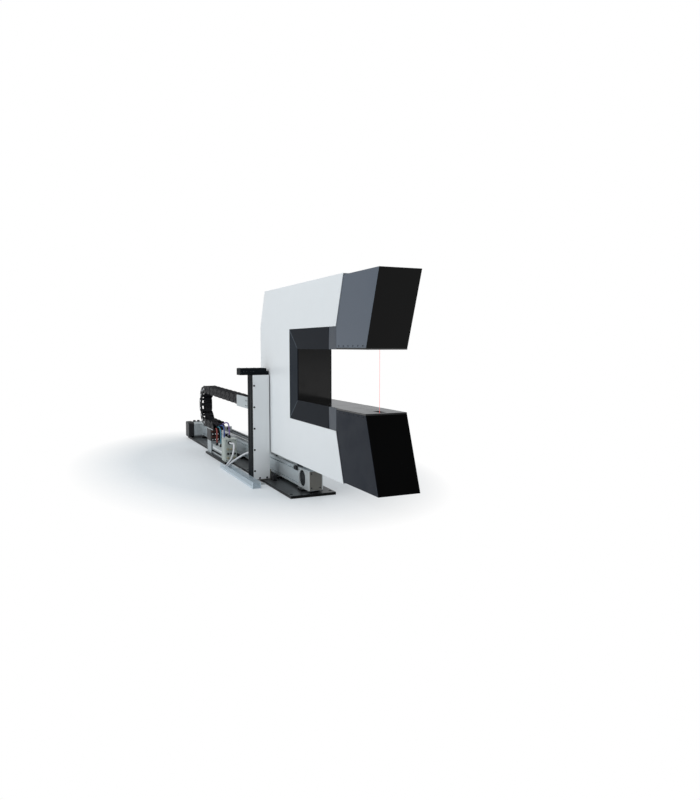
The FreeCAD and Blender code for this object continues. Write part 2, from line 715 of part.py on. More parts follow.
def head_shell():
    outer = head_outline(0)
    outer[0] = (HEAD_REAR, GAP_HIGH + CLOSING_PLATE)
    outer[4] = (NOSE_X + RAKE * CLOSING_PLATE, GAP_HIGH + CLOSING_PLATE)
    shell = prism_y(outer, (-HALF_HEAD, HALF_HEAD))
    return shell.cut(prism_y(head_outline(SHELL), (SHELL - HALF_HEAD, HALF_HEAD - SHELL)))


def window_plate():
    top = GAP_HIGH + CLOSING_PLATE
    outline = [(HEAD_REAR, GAP_HIGH), (HEAD_REAR, top),
               (NOSE_X + RAKE * CLOSING_PLATE, top), (NOSE_X, GAP_HIGH)]
    plate = prism_y(outline, (-HALF_HEAD, HALF_HEAD))
    half_x, half_y = APERTURE[0] / 2, APERTURE[1] / 2
    plate = plate.cut(box((LASER_X - half_x, LASER_X + half_x), (-half_y, half_y), (GAP_HIGH, top)))
    wide_x, wide_y = half_x + GLASS_LEDGE, half_y + GLASS_LEDGE
    seat = (top - GLASS - FIT, top)
    return plate.cut(box((LASER_X - wide_x, LASER_X + wide_x), (-wide_y, wide_y), seat))


def window_glass():
    top = GAP_HIGH + CLOSING_PLATE
    half_x, half_y = APERTURE[0] / 2 + GLASS_LEDGE - FIT, APERTURE[1] / 2 + GLASS_LEDGE - FIT
    return box((LASER_X - half_x, LASER_X + half_x), (-half_y, half_y), (top - GLASS - FIT, top - FIT))


def laser_sensor():
    half_x, half_y = SENSOR[0] / 2, SENSOR[1] / 2
    low = GAP_HIGH + CLOSING_PLATE + SENSOR_LIFT
    body = box((LASER_X - half_x, LASER_X + half_x), (-half_y, half_y), (low, low + SENSOR[2]))
    eye = rod_z(half_x / 3, LASER_X, 0, (low - SENSOR_LIFT / 2, low))
    slot = box((LASER_X - half_x / 2, LASER_X + half_x / 2), (half_y / 4, half_y / 2),
               (low, low + SENSOR_LIFT / 2))
    return body.fuse(eye).cut(slot)


def sensor_bracket():
    """Arm from the head shell's rear wall to the back of the sensor."""
    wall, back = HEAD_REAR + SHELL, LASER_X - SENSOR[0] / 2
    half = BRACKET_WIDTH / 2
    low = GAP_HIGH + CLOSING_PLATE + SENSOR_LIFT
    middle = low + BRACKET_PAD[1] / 2
    pad = box((wall, wall + BRACKET), (-BRACKET_PAD[0] / 2, BRACKET_PAD[0] / 2), (low, RING_HIGH - BRACKET))
    arm = box((wall, back), (-half, half), (middle - BRACKET / 2, middle + BRACKET / 2))
    face = box((back - BRACKET, back), (-half, half), (low, low + BRACKET_PAD[1]))
    top = middle + BRACKET / 2
    rib = [(wall + BRACKET, top), (wall + BRACKET, RING_HIGH - 2 * BRACKET), (back - BRACKET, top)]
    return pad.fuse(arm).fuse(face).fuse(prism_y(rib, (-BRACKET / 2, BRACKET / 2))).removeSplitter()


# Reference post: slotted profile, screwed front panel, foot and reference carrier
def post_profile():
    x, y = (POST_REAR, POST_FRONT - POST_PANEL), (-POST_NEAR, -POST_FAR)
    z = (POST_BASE, POST_TOP)
    post = box(x, y, z).cut(box((x[0] + POST_WALL + SLOT_DEPTH, x[1] - POST_WALL),
                                (y[0] + POST_WALL + SLOT_DEPTH, y[1] - POST_WALL), z))
    for share in (0.3, 0.7):
        middle = x[0] + share * (x[1] - x[0])
        post = post.cut(box((middle - SLOT_WIDTH / 2, middle + SLOT_WIDTH / 2), (y[0], y[0] + SLOT_DEPTH), z))
    return post


def post_panel():
    return box((POST_FRONT - POST_PANEL, POST_FRONT), (-POST_NEAR, -POST_FAR), (POST_BASE, POST_TOP))


def post_foot():
    """Foot plate that reaches over the base plate, with an upright leg against the post's far face."""
    outline = [(-POST_NEAR, BASE_THICK), (ANGLE_REACH - POST_FAR, BASE_THICK), (ANGLE_REACH - POST_FAR, POST_BASE),
               (ANGLE_THICK - POST_FAR, POST_BASE), (ANGLE_THICK - POST_FAR, POST_BASE + ANGLE_HEIGHT),
               (-POST_FAR, POST_BASE + ANGLE_HEIGHT), (-POST_FAR, POST_BASE), (-POST_NEAR, POST_BASE)]
    return prism_x(outline, (POST_REAR, POST_FRONT))


def carrier_span():
    middle = POST_FRONT - POST_DEPTH / 2
    return middle - CARRIER_DEPTH / 2, middle + CARRIER_DEPTH / 2


def carrier_plate():
    return box(carrier_span(), (-CARRIER_NEAR, -POST_FAR), (POST_TOP, POST_TOP + CARRIER_PLATE))


def reference_body():
    low = POST_TOP + CARRIER_PLATE
    body = box(carrier_span(), (-CARRIER_NEAR, -CARRIER_FAR), (low, low + CARRIER_HEIGHT))
    edges = [edge for edge in body.Edges if all(abs(v.Z - low - CARRIER_HEIGHT) < FIT for v in edge.Vertexes)]
    return body.makeChamfer(EDGE_CHAMFER, edges)


def reference_step():
    low = POST_TOP + CARRIER_PLATE
    return box(carrier_span(), (-CARRIER_FAR, TONGUE - CARRIER_FAR), (low, low + TONGUE_HEIGHT))


# Energy chain
def stadium(half_length):
    """Half-turn ends about the two pins of a side plate, as (along, up) points."""
    r = LINK_HEIGHT / 2
    ends = []
    for turn in range(END_FACETS + 1):
        angle = math.pi * (turn / END_FACETS - 0.5)
        ends.append((half_length + r * math.cos(angle), r * math.sin(angle)))
    return ends + [(-along, -up) for along, up in ends]


def chain_link(start, end, outer):
    """One link from pin to pin: two side plates and two cross bars."""
    middle = ((start[0] + end[0]) / 2, (start[1] + end[1]) / 2)
    angle = math.degrees(math.atan2(end[1] - start[1], end[0] - start[0]))
    face = LINK_WIDTH / 2 - (0 if outer else LINK_PLAY)
    plate = prism_y(stadium(PITCH / 2), (-face, SIDE_PLATE - face))
    half, r = BAR_LENGTH / 2, LINK_HEIGHT / 2
    inside = face - SIDE_PLATE
    bar = box((-half, half), (-inside, inside), (r - BAR_THICK, r))
    low_bar = box((-half, half), (-inside, inside), (-r, BAR_THICK - r))
    link = plate.fuse(mirrored(plate)).fuse(bar).fuse(low_bar)
    link.rotate(V(0, 0, 0), V(0, 1, 0), -angle)
    link.translate(V(middle[0], CHAIN_Y, middle[1]))
    return link


def lower_pins():
    return [(LOWER_END - i * PITCH, LOWER_Z) for i in range(LOWER_LINKS + 1)]


def bend_pins():
    middle = LOWER_Z + BEND_RADIUS
    turns = [math.pi * (0.5 + i / BEND_LINKS) for i in range(BEND_LINKS + 1)]
    return [(BEND_X + BEND_RADIUS * math.cos(t), middle - BEND_RADIUS * math.sin(t)) for t in turns]


def upper_pins():
    tilt = math.radians(UPPER_TILT)
    return [(BEND_X + i * PITCH * math.cos(tilt), UPPER_Z - i * PITCH * math.sin(tilt))
            for i in range(UPPER_LINKS + 1)]


def run_of_links(pins, first):
    return [chain_link(pins[i], pins[i + 1], (first + i) % 2 == 0) for i in range(len(pins) - 1)]


def end_fork(pin, outer):
    """Fork that holds the chain's last pin, with its foot plate under the chain."""
    face = LINK_WIDTH / 2 - (0 if outer else LINK_PLAY)
    r = LINK_HEIGHT / 2
    nose = stadium(0)[END_FACETS + 1:]
    cheek = nose + [(BRACKET_REACH, -r), (BRACKET_REACH, r)]
    plate = prism_y(cheek, (-face, SIDE_PLATE - face))
    bar = box((r + SIDE_GAP, BRACKET_REACH), (-face, face), (-r, BAR_THICK - r))
    fork = plate.fuse(mirrored(plate)).fuse(bar)
    fork.translate(V(pin[0], CHAIN_Y, pin[1]))
    return fork


def tow_arm():
    """Plate beside the chain's end, carried out to the frame's cover by a cross plate and a foot."""
    near = CHAIN_Y - LINK_WIDTH / 2 - SIDE_GAP - ARM_THICK
    low = UPPER_END_Z - LINK_HEIGHT / 2 - ARM_DROP
    high = UPPER_END_Z + LINK_HEIGHT / 2 + ARM_DROP
    start = UPPER_END_X + ARM_REAR_GAP
    end = POST_REAR - ARM_THICK - 2 * ARM_REAR_GAP
    side = box((start, end), (near, near + ARM_THICK), (low, high))
    cross = box((end - ARM_THICK, end), (near, -HALF_FRAME), (low, high))
    foot = box((end - ARM_FOOT[0], end), (-HALF_FRAME - ARM_THICK, -HALF_FRAME), (low, low + ARM_FOOT[1]))
    shelf = box((start, UPPER_END_X + BRACKET_REACH), (near, CHAIN_Y + LINK_WIDTH / 2), (low, low + ARM_DROP))
    return side.fuse(cross).fuse(foot).fuse(shelf).removeSplitter()


# Cable connections beside the module
def chain_stand():
    """Open-backed stand on the base plate, and the shelf over it."""
    z = (BASE_THICK, STAND_TOP)
    start, end = from_chain(STAND_X)
    hollow = box((start + STAND_WALL, end - STAND_WALL), (STAND_Y[0] + STAND_WALL, STAND_Y[1]), z)
    half = LINK_WIDTH / 2
    shelf = box(from_chain(SHELF), (CHAIN_Y - half, CHAIN_Y + half), (SHELF_TOP - SHELF_THICK, SHELF_TOP))
    return [box((start, end), STAND_Y, z).cut(hollow), shelf]


def clamp_block():
    return box(from_chain(CLAMP_BLOCK_X), CONNECTION_Y, (STAND_TOP, SHELF_TOP - SHELF_THICK))


def valve_base():
    return box(from_chain(VALVE_X), CONNECTION_Y, (BASE_THICK, BASE_THICK + VALVE_BASE))


def valve_stations():
    step = (VALVE_X[1] - VALVE_X[0]) / STATION_COUNT
    low = BASE_THICK + VALVE_BASE
    stations = []
    for i in range(STATION_COUNT):
        start = LOWER_END + VALVE_X[0] + i * step
        y = (CONNECTION_Y[0] + STATION_GAP, CONNECTION_Y[1])
        body = box((start, start + step - STATION_GAP), y, (low, VALVE_TOP))
        edges = [edge for edge in body.Edges if all(abs(v.Z - VALVE_TOP) < FIT for v in edge.Vertexes)]
        stations.append(body.makeChamfer(EDGE_CHAMFER, edges))
    return stations


def terminal_box():
    body = box(from_chain(TERMINAL_X), CONNECTION_Y, (BASE_THICK, TERMINAL_TOP))
    edges = [edge for edge in body.Edges if abs(edge.Vertexes[0].Z - edge.Vertexes[-1].Z) > BOX_FILLET]
    return body.makeFillet(BOX_FILLET, edges)


def lead_plugs():
    plugs = []
    for name, route in LEADS:
        px, py, pz = point_from_chain(route[-1])
        plugs.append(rod_z(PLUG_BODY_R, px, py, (pz - PLUG_BODY, pz)))
    return plugs


def cable_glands():
    box_x, box_y, box_z = point_from_chain(CABLE_A_ROUTE[0])
    post_x, post_y, post_z = point_from_chain(CABLE_B_ROUTE[0])
    return [rod_x(GLAND_R, (box_x - GLAND_LENGTH, box_x), box_y, box_z),
            rod_x(GLAND_R, (post_x, post_x + GLAND_LENGTH), post_y, post_z)]


# Slotted duct that takes the cables along the floor
def cable_duct():
    x, y = (DUCT_REAR, DUCT_FRONT), (-DUCT_NEAR, -DUCT_FAR)
    duct = box(x, y, (0, DUCT_HEIGHT))
    duct = duct.cut(box(x, (y[0] + DUCT_WALL, y[1] - DUCT_WALL), (DUCT_WALL, DUCT_HEIGHT)))
    step = DUCT_SLOT + DUCT_TOOTH
    count = int((DUCT_FRONT - DUCT_REAR - DUCT_TOOTH) / step)
    first = DUCT_REAR + DUCT_TOOTH
    slots = [box((first + i * step, first + i * step + DUCT_SLOT), y, (DUCT_SOLID, DUCT_HEIGHT))
             for i in range(count)]
    return duct.cut(Part.makeCompound(slots))


def tie_bars():
    starts = (DUCT_REAR + TIE_BAR_INSET, DUCT_FRONT - TIE_BAR_INSET - TIE_BAR[0])
    return [box((start, start + TIE_BAR[0]), (-DUCT_FAR, -BASE_NEAR), (0, TIE_BAR[1])) for start in starts]


# Tube along straight runs joined by arcs as large as the runs allow
def tube(name, route, diameter):
    points = [V(*point_from_chain(point)) for point in route]
    edges = []
    radii = []
    start = points[0]
    for before, corner, after in zip(points, points[1:], points[2:]):
        into, out = (before - corner), (after - corner)
        cut = 0.45 * min(into.Length, out.Length)
        half_turn = (math.pi - into.getAngle(out)) / 2
        radii.append(cut / math.tan(half_turn))
        into.normalize()
        out.normalize()
        first, last = corner + into * cut, corner + out * cut
        bisector = (into + out).normalize()
        middle = corner + bisector * (math.hypot(radii[-1], cut) - radii[-1])
        edges.append(Part.LineSegment(start, first).toShape())
        edges.append(Part.Arc(first, middle, last).toShape())
        start = last
    edges.append(Part.LineSegment(start, points[-1]).toShape())
    path = Part.Wire(edges)
    along = (points[1] - points[0]).normalize()
    side = along.cross(V(0, 0, 1) if abs(along.z) < 0.9 else V(1, 0, 0)).normalize()
    up = side.cross(along)
    turns = [2 * math.pi * (i + 0.5) / TUBE_SIDES for i in range(TUBE_SIDES)]
    corners = [points[0] + (side * math.cos(t) + up * math.sin(t)) * (diameter / 2) for t in turns]
    section = Part.makePolygon(corners + corners[:1])
    swept = path.makePipeShell([section], True, False)
    expected = TUBE_SIDES * math.sin(2 * math.pi / TUBE_SIDES) * diameter ** 2 / 8 * path.Length
    share = round(swept.Volume / expected, 4)
    print(name, "length", round(path.Length), "least radius", round(min(radii)), "volume share", share)
    return swept


def build():
    os.makedirs("parts", exist_ok=True)
    save("base_plate", base_plate())
    group("module_feet", module_feet())
    save("module_profile", module_profile())
    save("front_pulley_housing", pulley_housing(PROFILE_FRONT, FRONT_AXLE, -1))
    save("rear_pulley_housing", pulley_housing(REAR_HOUSING, REAR_AXLE, 1))
    group("shaft_bearings", shaft_bearings(FRONT_AXLE) + shaft_bearings(REAR_AXLE))
    save("drive_belt", drive_belt())
    save("front_end_plate", front_end_plate())
    save("front_cover", front_cover())
    save("idler_pulley", pulley(FRONT_AXLE))
    save("idler_shaft", idler_shaft())
    save("drive_pulley", pulley(REAR_AXLE))
    save("drive_shaft", drive_shaft())
    save("motor_flange", motor_flange())
    save("motor_body", motor_body())
    save("motor_end_cap", motor_end_cap())
    group("guide_rails", guide_rails())
    group("guide_blocks", guide_blocks())
    save("carriage_plate", carriage_plate())
    save("belt_clamp", belt_clamp())
    group("travel_stops", travel_stops())
    group("limit_switches", [limit_switch(PROFILE_FRONT - FRONT_SWITCH_INSET),
                             limit_switch(CARRIAGE_REAR - TRAVEL + REAR_SWITCH_INSET)])
    save("side_cover_near", side_cover())
    save("side_cover_far", mirrored(side_cover()))
    save("edge_casing", edge_casing())
    save("frame_core", frame_core())
    group("core_spacers", frame_packers() + cover_standoffs() + liner_ribs())
    group("throat_surrounds", [throat_surround(), mirrored(throat_surround())])
    group("neck_panels", neck_panels() + [mirrored(panel) for panel in neck_panels()])
    save("throat_liner", throat_liner())
    for name, maker in (("head_shell", head_shell), ("window_plate", window_plate)):
        save("upper_" + name, maker())
        save("lower_" + name, flipped(maker()))
    for name, maker in (("window_glasses", window_glass), ("laser_sensors", laser_sensor),
                        ("sensor_brackets", sensor_bracket)):
        group(name, [maker(), flipped(maker())])
    save("post_foot", post_foot())
    save("post_profile", post_profile())
    save("post_panel", post_panel())
    group("reference_carrier", [carrier_plate(), reference_body(), reference_step()])
    group("chain_lower_run", run_of_links(lower_pins(), 1))
    group("chain_bend", run_of_links(bend_pins(), 1 + LOWER_LINKS))
    group("chain_upper_run", run_of_links(upper_pins(), 1 + LOWER_LINKS + BEND_LINKS))
    save("chain_fixed_fork", end_fork(lower_pins()[0], True))
    save("chain_moving_fork", end_fork(upper_pins()[-1], (LOWER_LINKS + BEND_LINKS + UPPER_LINKS) % 2 == 1))
    save("tow_arm", tow_arm())
    group("chain_stand", chain_stand())
    save("clamp_block", clamp_block())
    group("valve_block", [valve_base()] + valve_stations())
    save("terminal_box", terminal_box())
    group("cable_inlets", motor_sockets() + cable_glands())
    group("lead_plugs", lead_plugs())
    group("cable_duct", [cable_duct()] + tie_bars())
    for name, route in LEADS:
        save(name, tube(name, route, LEAD_D))
    for name, route in CABLES:
        save(name, tube(name, route, CABLE_D))


build()
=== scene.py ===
import json
import math
import bmesh
import bpy
from mathutils import Matrix, Vector

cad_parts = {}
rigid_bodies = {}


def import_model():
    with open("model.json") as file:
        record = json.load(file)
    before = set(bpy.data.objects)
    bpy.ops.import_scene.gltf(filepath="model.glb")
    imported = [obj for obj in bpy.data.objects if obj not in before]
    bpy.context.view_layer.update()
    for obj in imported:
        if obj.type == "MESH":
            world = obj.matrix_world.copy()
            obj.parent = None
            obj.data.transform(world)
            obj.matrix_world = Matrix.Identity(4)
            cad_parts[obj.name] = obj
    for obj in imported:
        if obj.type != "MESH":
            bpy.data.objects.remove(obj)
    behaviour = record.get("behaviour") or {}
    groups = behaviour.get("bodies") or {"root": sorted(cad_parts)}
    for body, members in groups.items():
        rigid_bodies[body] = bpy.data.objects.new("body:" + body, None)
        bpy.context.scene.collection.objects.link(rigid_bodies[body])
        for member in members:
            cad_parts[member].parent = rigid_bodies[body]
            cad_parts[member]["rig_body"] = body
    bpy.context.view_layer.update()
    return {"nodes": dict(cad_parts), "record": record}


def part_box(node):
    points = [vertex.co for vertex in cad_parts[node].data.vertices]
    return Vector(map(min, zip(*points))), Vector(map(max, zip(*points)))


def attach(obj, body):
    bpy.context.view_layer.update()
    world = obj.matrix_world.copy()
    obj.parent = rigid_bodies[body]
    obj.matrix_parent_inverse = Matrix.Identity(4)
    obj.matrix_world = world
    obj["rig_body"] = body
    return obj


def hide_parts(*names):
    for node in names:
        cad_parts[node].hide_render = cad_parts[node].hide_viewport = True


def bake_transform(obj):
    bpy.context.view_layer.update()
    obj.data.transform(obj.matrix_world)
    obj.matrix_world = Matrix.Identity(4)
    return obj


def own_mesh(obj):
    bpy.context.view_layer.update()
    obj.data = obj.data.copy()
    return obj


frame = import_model()

bl_info = {
    "name": "Laser thickness gauge",
    "version": (1, 0, 0),
    "blender": (4, 5, 0),
    "location": "View3D > Sidebar > Gauge",
    "description": "Dresses a C-frame laser thickness gauge and its linear module",
    "category": "Object",
}

NODES = frame["nodes"]

# Places read from the frame
LOWER_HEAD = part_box("lower_head_shell")
LOWER_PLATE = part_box("lower_window_plate")
UPPER_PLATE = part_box("upper_window_plate")
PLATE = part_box("carriage_plate")
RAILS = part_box("guide_rails")
FRONT_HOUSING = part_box("front_pulley_housing")
REAR_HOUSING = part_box("rear_pulley_housing")
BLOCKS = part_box("guide_blocks")
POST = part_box("post_panel")
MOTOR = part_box("motor_body")
MOTOR_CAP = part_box("motor_end_cap")
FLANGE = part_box("motor_flange")
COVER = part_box("front_cover")
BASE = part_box("base_plate")
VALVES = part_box("valve_block")
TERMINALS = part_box("terminal_box")
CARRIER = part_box("reference_carrier")
LOWER_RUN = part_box("chain_lower_run")
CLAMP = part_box("clamp_block")
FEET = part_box("module_feet")
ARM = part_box("tow_arm")
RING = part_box("throat_surrounds")
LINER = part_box("throat_liner")
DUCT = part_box("cable_duct")
THROAT_X = LINER[0].x
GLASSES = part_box("window_glasses")
AXLE_Z = (FRONT_HOUSING[0].z + FRONT_HOUSING[1].z) / 2
FRONT_AXLE = (FRONT_HOUSING[0].x + FRONT_HOUSING[1].x) / 2
REAR_AXLE = (REAR_HOUSING[0].x + REAR_HOUSING[1].x) / 2
BEAM_X = (GLASSES[0].x + GLASSES[1].x) / 2

# Radii of the screws' heads, by what they hold
SCREWS = {"post": 0.0062, "rail": 0.0042, "feet": 0.005, "cap": 0.0032, "trim": 0.0036, "cover": 0.0045,
          "plate": 0.005, "flange": 0.004, "clamp": 0.0065}

# Directions
UP = (0, 0, 1)
NEAR = (0, -1, 0)
FAR = (0, 1, 0)
AHEAD = (1, 0, 0)

# Camera
EYE = Vector((4.646, -1.3475, 0.805))
EYE_AZIMUTH = math.radians(24.92)
EYE_DROP = math.radians(4.56)
EYE_LENS = 30.333
EYE_SENSOR = 36.0

# Lamps, each with its place, what it points at, its two sides and its power
LAMPS = {
    "key": ((0.9, -3.6, 3.2), (1.1, 0, 0.6), (3.0, 2.0), 78),
    "front": ((4.6, -2.6, 2.6), (0.6, 0, 0.3), (1.2, 1.2), 12),
    "top": ((0.4, 0.6, 4.2), (0.6, 0, 0.3), (3.5, 2.0), 30),
}

# Sky that lights the gauge
SKY_COLOUR = (0.965, 0.98, 1.0, 1)
SKY_STRENGTH = 0.55

# Oval on the floor in which the gauge's shadow shows
FLOOR_MIDDLE = (0.1, -0.05)
FLOOR_REACH = (1.95, 1.15)

# Chain, as its links are built
PITCH = 0.056
BEND_LINKS = 7
LOWER_LINKS = 4
UPPER_LINKS = 17
UPPER_TILT = math.radians(0.8)
BEND_RADIUS = PITCH / 2 / math.sin(math.pi / 2 / BEND_LINKS)
CHAIN_END = -0.246907
LOWER_Z = 0.227
UPPER_Z = LOWER_Z + 2 * BEND_RADIUS
BEND_X = CHAIN_END - LOWER_LINKS * PITCH
CHAIN_MIDDLE = (LOWER_RUN[0].y + LOWER_RUN[1].y) / 2
BOSS_RADIUS = 0.0085

# Hoses inside the chain, with their Y and radius
HOSES = ((-0.1890, 0.0045), (-0.1665, 0.0077), (-0.1528, 0.0077), (-0.1391, 0.0077), (-0.1254, 0.0077))

# Routes of leads and cables, with X from the chain's fixed end
LEADS = {
    "purple": [(0.061, -0.132, 0.238), (0.109, -0.133, 0.247), (0.163, -0.136, 0.259), (0.219, -0.140, 0.266),
               (0.273, -0.145, 0.268), (0.313, -0.150, 0.262), (0.339, -0.154, 0.246), (0.351, -0.156, 0.221),
               (0.351, -0.156, 0.196)],
    "blue": [(0.061, -0.147, 0.228), (0.101, -0.149, 0.233), (0.143, -0.153, 0.238), (0.191, -0.158, 0.240),
             (0.235, -0.165, 0.234), (0.263, -0.169, 0.221), (0.279, -0.173, 0.198), (0.285, -0.176, 0.172),
             (0.285, -0.177, 0.144), (0.285, -0.177, 0.114)],
    "teal": [(0.061, -0.163, 0.219), (0.095, -0.165, 0.221), (0.135, -0.168, 0.218), (0.169, -0.171, 0.203),
             (0.191, -0.175, 0.176), (0.199, -0.177, 0.146), (0.199, -0.177, 0.114)],
    "red": [(0.061, -0.179, 0.209), (0.081, -0.180, 0.208), (0.105, -0.182, 0.196), (0.119, -0.185, 0.172),
            (0.119, -0.186, 0.144), (0.119, -0.186, 0.114)],
}
CABLES = {
    "grey_cable": [(0.417, -0.170, 0.148), (0.465, -0.170, 0.148), (0.519, -0.175, 0.160),
                   (0.573, -0.184, 0.158), (0.615, -0.196, 0.138), (0.635, -0.207, 0.106),
                   (0.631, -0.218, 0.076), (0.611, -0.228, 0.050), (0.587, -0.237, 0.030),
                   (0.563, -0.240, 0.016)],
    "post_cable": [(0.972907, -0.165, 0.150), (0.931, -0.165, 0.150), (0.887, -0.172, 0.151),
                   (0.837, -0.181, 0.138), (0.783, -0.193, 0.116), (0.727, -0.206, 0.091),
                   (0.675, -0.218, 0.066), (0.635, -0.227, 0.044), (0.605, -0.230, 0.026),
                   (0.579, -0.227, 0.014)],
}


# Small makers
def linear(tone):
    """Scene colour of six hexadecimal digits, or of a colour setting, which is one already."""
    if not isinstance(tone, str):
        return [*tone, 1.0]
    parts = [int(tone[i:i + 2], 16) / 255 for i in (1, 3, 5)]
    return [part / 12.92 if part < 0.04045 else ((part + 0.055) / 1.055) ** 2.4 for part in parts] + [1.0]


def shade(colour, factor, lift=0.0):
    """Colour made lighter or darker, and no brighter than white."""
    return [min(1.0, part * factor + lift) for part in colour[:3]] + [1.0]


def link(piece):
    bpy.context.scene.collection.objects.link(piece)
    return piece


def solid_piece(name, mesh, *finishes):
    for finish in finishes:
        mesh.materials.append(finish)
    return link(bpy.data.objects.new(name, mesh))


def mesh_from(work, name):
    """Turns a working mesh into a finished one and lets it go."""
    mesh = bpy.data.meshes.new(name)
    work.to_mesh(mesh)
    work.free()
    return mesh


def plain(piece):
    """Puts the result of a piece's modifiers into its mesh."""
    graph = bpy.context.evaluated_depsgraph_get()
    mesh = bpy.data.meshes.new_from_object(piece.evaluated_get(graph), depsgraph=graph)
    piece.modifiers.clear()
    piece.data = mesh
    return piece


def settle(piece, body, slot, *nodes):
    """Hides the nodes that a finished piece stands for and, where it rides on one, gives it its body. The
    slot is not used.
    """
    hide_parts(*nodes)
    if body:
        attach(piece, body)
    return piece


class Value:
    """Socket of a node tree that can be used in arithmetic."""

    def __init__(self, tree, socket):
        self.tree = tree
        self.socket = socket

    def maths(self, operation, first, second=0.0):
        node = self.tree.nodes.new("ShaderNodeMath")
        node.operation = operation
        for place, item in zip(node.inputs, (first, second)):
            if isinstance(item, Value):
                self.tree.links.new(item.socket, place)
            else:
                place.default_value = item
        return Value(self.tree, node.outputs[0])

    def __add__(self, other):
        return self.maths("ADD", self, other)

    def __radd__(self, other):
        return self.maths("ADD", other, self)

    def __sub__(self, other):
        return self.maths("SUBTRACT", self, other)

    def __rsub__(self, other):
        return self.maths("SUBTRACT", other, self)

    def __mul__(self, other):
        return self.maths("MULTIPLY", self, other)

    def __rmul__(self, other):
        return self.maths("MULTIPLY", other, self)

    def __truediv__(self, other):
        return self.maths("DIVIDE", self, other)

    def __pow__(self, other):
        return self.maths("POWER", self, other)

    def __abs__(self):
        return self.maths("ABSOLUTE", self)

    def __gt__(self, other):
        return self.maths("GREATER_THAN", self, other)

    def __lt__(self, other):
        return self.maths("LESS_THAN", self, other)


class Nodes:
    """Node tree whose nodes come from one method."""

    def __init__(self, tree):
        self.tree = tree

    def add(self, kind, settings=None, sockets=None, output=0):
        """New node with its settings and with a value or a link for each socket named."""
        node = self.tree.nodes.new(kind)
        for key, setting in (settings or {}).items():
            setattr(node, key, setting)
        for key, item in (sockets or {}).items():
            if isinstance(item, Value):
                self.tree.links.new(item.socket, node.inputs[key])
            else:
                node.inputs[key].default_value = item
        return Value(self.tree, node.outputs[output]) if node.outputs else None


class Surface(Nodes):
    """Material whose colour, roughness and relief are built from nodes."""

    def __init__(self, name, metallic=0.0):
        self.material = bpy.data.materials.new(name)
        self.material.use_nodes = True
        super().__init__(self.material.node_tree)
        self.shader = self.tree.nodes["Principled BSDF"]
        self.give("Metallic", metallic)
        self.place = self.add("ShaderNodeTexCoord", output="Object")
        self.axes = [self.add("ShaderNodeSeparateXYZ", {}, {0: self.place}, axis) for axis in "XYZ"]

    def noise(self, scale, detail=2.0, stretch=(1, 1, 1)):
        spot = self.add("ShaderNodeMapping", {}, {"Vector": self.place, "Scale": stretch})
        return self.add("ShaderNodeTexNoise", {}, {"Vector": spot, "Scale": scale, "Detail": detail})

    def mix(self, factor, first, second):
        return self.add("ShaderNodeMix", {"data_type": "RGBA"}, {0: factor, 6: first, 7: second}, 2)

    def span(self, value, low, high):
        """Value stretched from low..high to 0..1 and cut off outside."""
        return self.add("ShaderNodeMapRange", {}, {"Value": value, "From Min": low, "From Max": high})

    def give(self, socket, item):
        if isinstance(item, Value):
            self.tree.links.new(item.socket, self.shader.inputs[socket])
        else:
            self.shader.inputs[socket].default_value = item
        return self

    def shaded(self):
        """What the surface shows before anything is laid over it."""
        return Value(self.tree, self.shader.outputs[0])

    def relief(self, height, depth, strength=0.5):
        bump = self.add("ShaderNodeBump", {}, {"Height": height, "Distance": depth, "Strength": strength})
        return self.give("Normal", bump)


# Finishes
def coated(name, tone, roughness, spread=0.05, grain=900.0, depth=0.0002, dust=0.0, gloss=0.5):
    """Powder coat: fine orange peel, slow change of tone, and dust that gathers in patches."""
    coat = Surface(name)
    coat.give("Specular IOR Level", gloss)
    slow = coat.noise(3.0, 4.0)
    patches = coat.span(coat.noise(14.0, 6.0), 0.45, 0.75)
    colour = linear(tone)
    base = coat.mix(slow, shade(colour, 1 - spread), shade(colour, 1 + spread, spread * 0.02))
    coat.give("Base Color", coat.mix(patches * dust, base, linear("#b9bcbc")))
    coat.give("Roughness", roughness - 0.06 + slow * 0.08 + patches * 0.08)
    return coat.relief(coat.noise(grain, 3.0), depth, 0.35).material


def brushed(name, tone, roughness, stretch=(0.02, 1, 1), metallic=0.85, streak=0.12):
    """Metal with fine drawn or ground lines along one direction."""
    metal = Surface(name, metallic)
    lines = metal.noise(1400.0, 3.0, stretch)
    slow = metal.noise(5.0, 4.0)
    colour = linear(tone)
    both = lines * 0.6 + slow * 0.4
    metal.give("Base Color", metal.mix(both, shade(colour, 1 - streak), shade(colour, 1 + streak)))
    metal.give("Roughness", roughness - 0.08 + lines * 0.1 + slow * 0.08)
    return metal.relief(lines, 0.00008, 0.3).material


def moulded(name, tone, roughness, grain=2200.0, worn="#8b8f92", wear=0.06, gloss=0.35):
    """Moulded plastic with a fine spark-eroded grain and light scuffs."""
    plastic = Surface(name)
    plastic.give("Specular IOR Level", gloss)
    scuffs = plastic.span(plastic.noise(60.0, 8.0, (1, 1, 4)), 0.55, 0.8)
    slow = plastic.noise(9.0, 2.0)
    colour = linear(tone)
    base = plastic.mix(slow, colour, shade(colour, 1.12, 0.002))
    plastic.give("Base Color", plastic.mix(scuffs * wear, base, linear(worn)))
    plastic.give("Roughness", roughness + scuffs * 0.12)
    return plastic.relief(plastic.noise(grain, 2.0), 0.00012, 0.4).material


def jacket(name, tone):
    """Cable jacket: matt, with faint rings left by the extruder."""
    sheath = Surface(name)
    slow = sheath.noise(40.0, 3.0)
    colour = linear(tone)
    sheath.give("Base Color", sheath.mix(slow, colour, shade(colour, 1.2, 0.004)))
    sheath.give("Roughness", 0.42 + slow * 0.15)
    return sheath.relief(sheath.noise(900.0, 1.0), 0.0001, 0.3).material


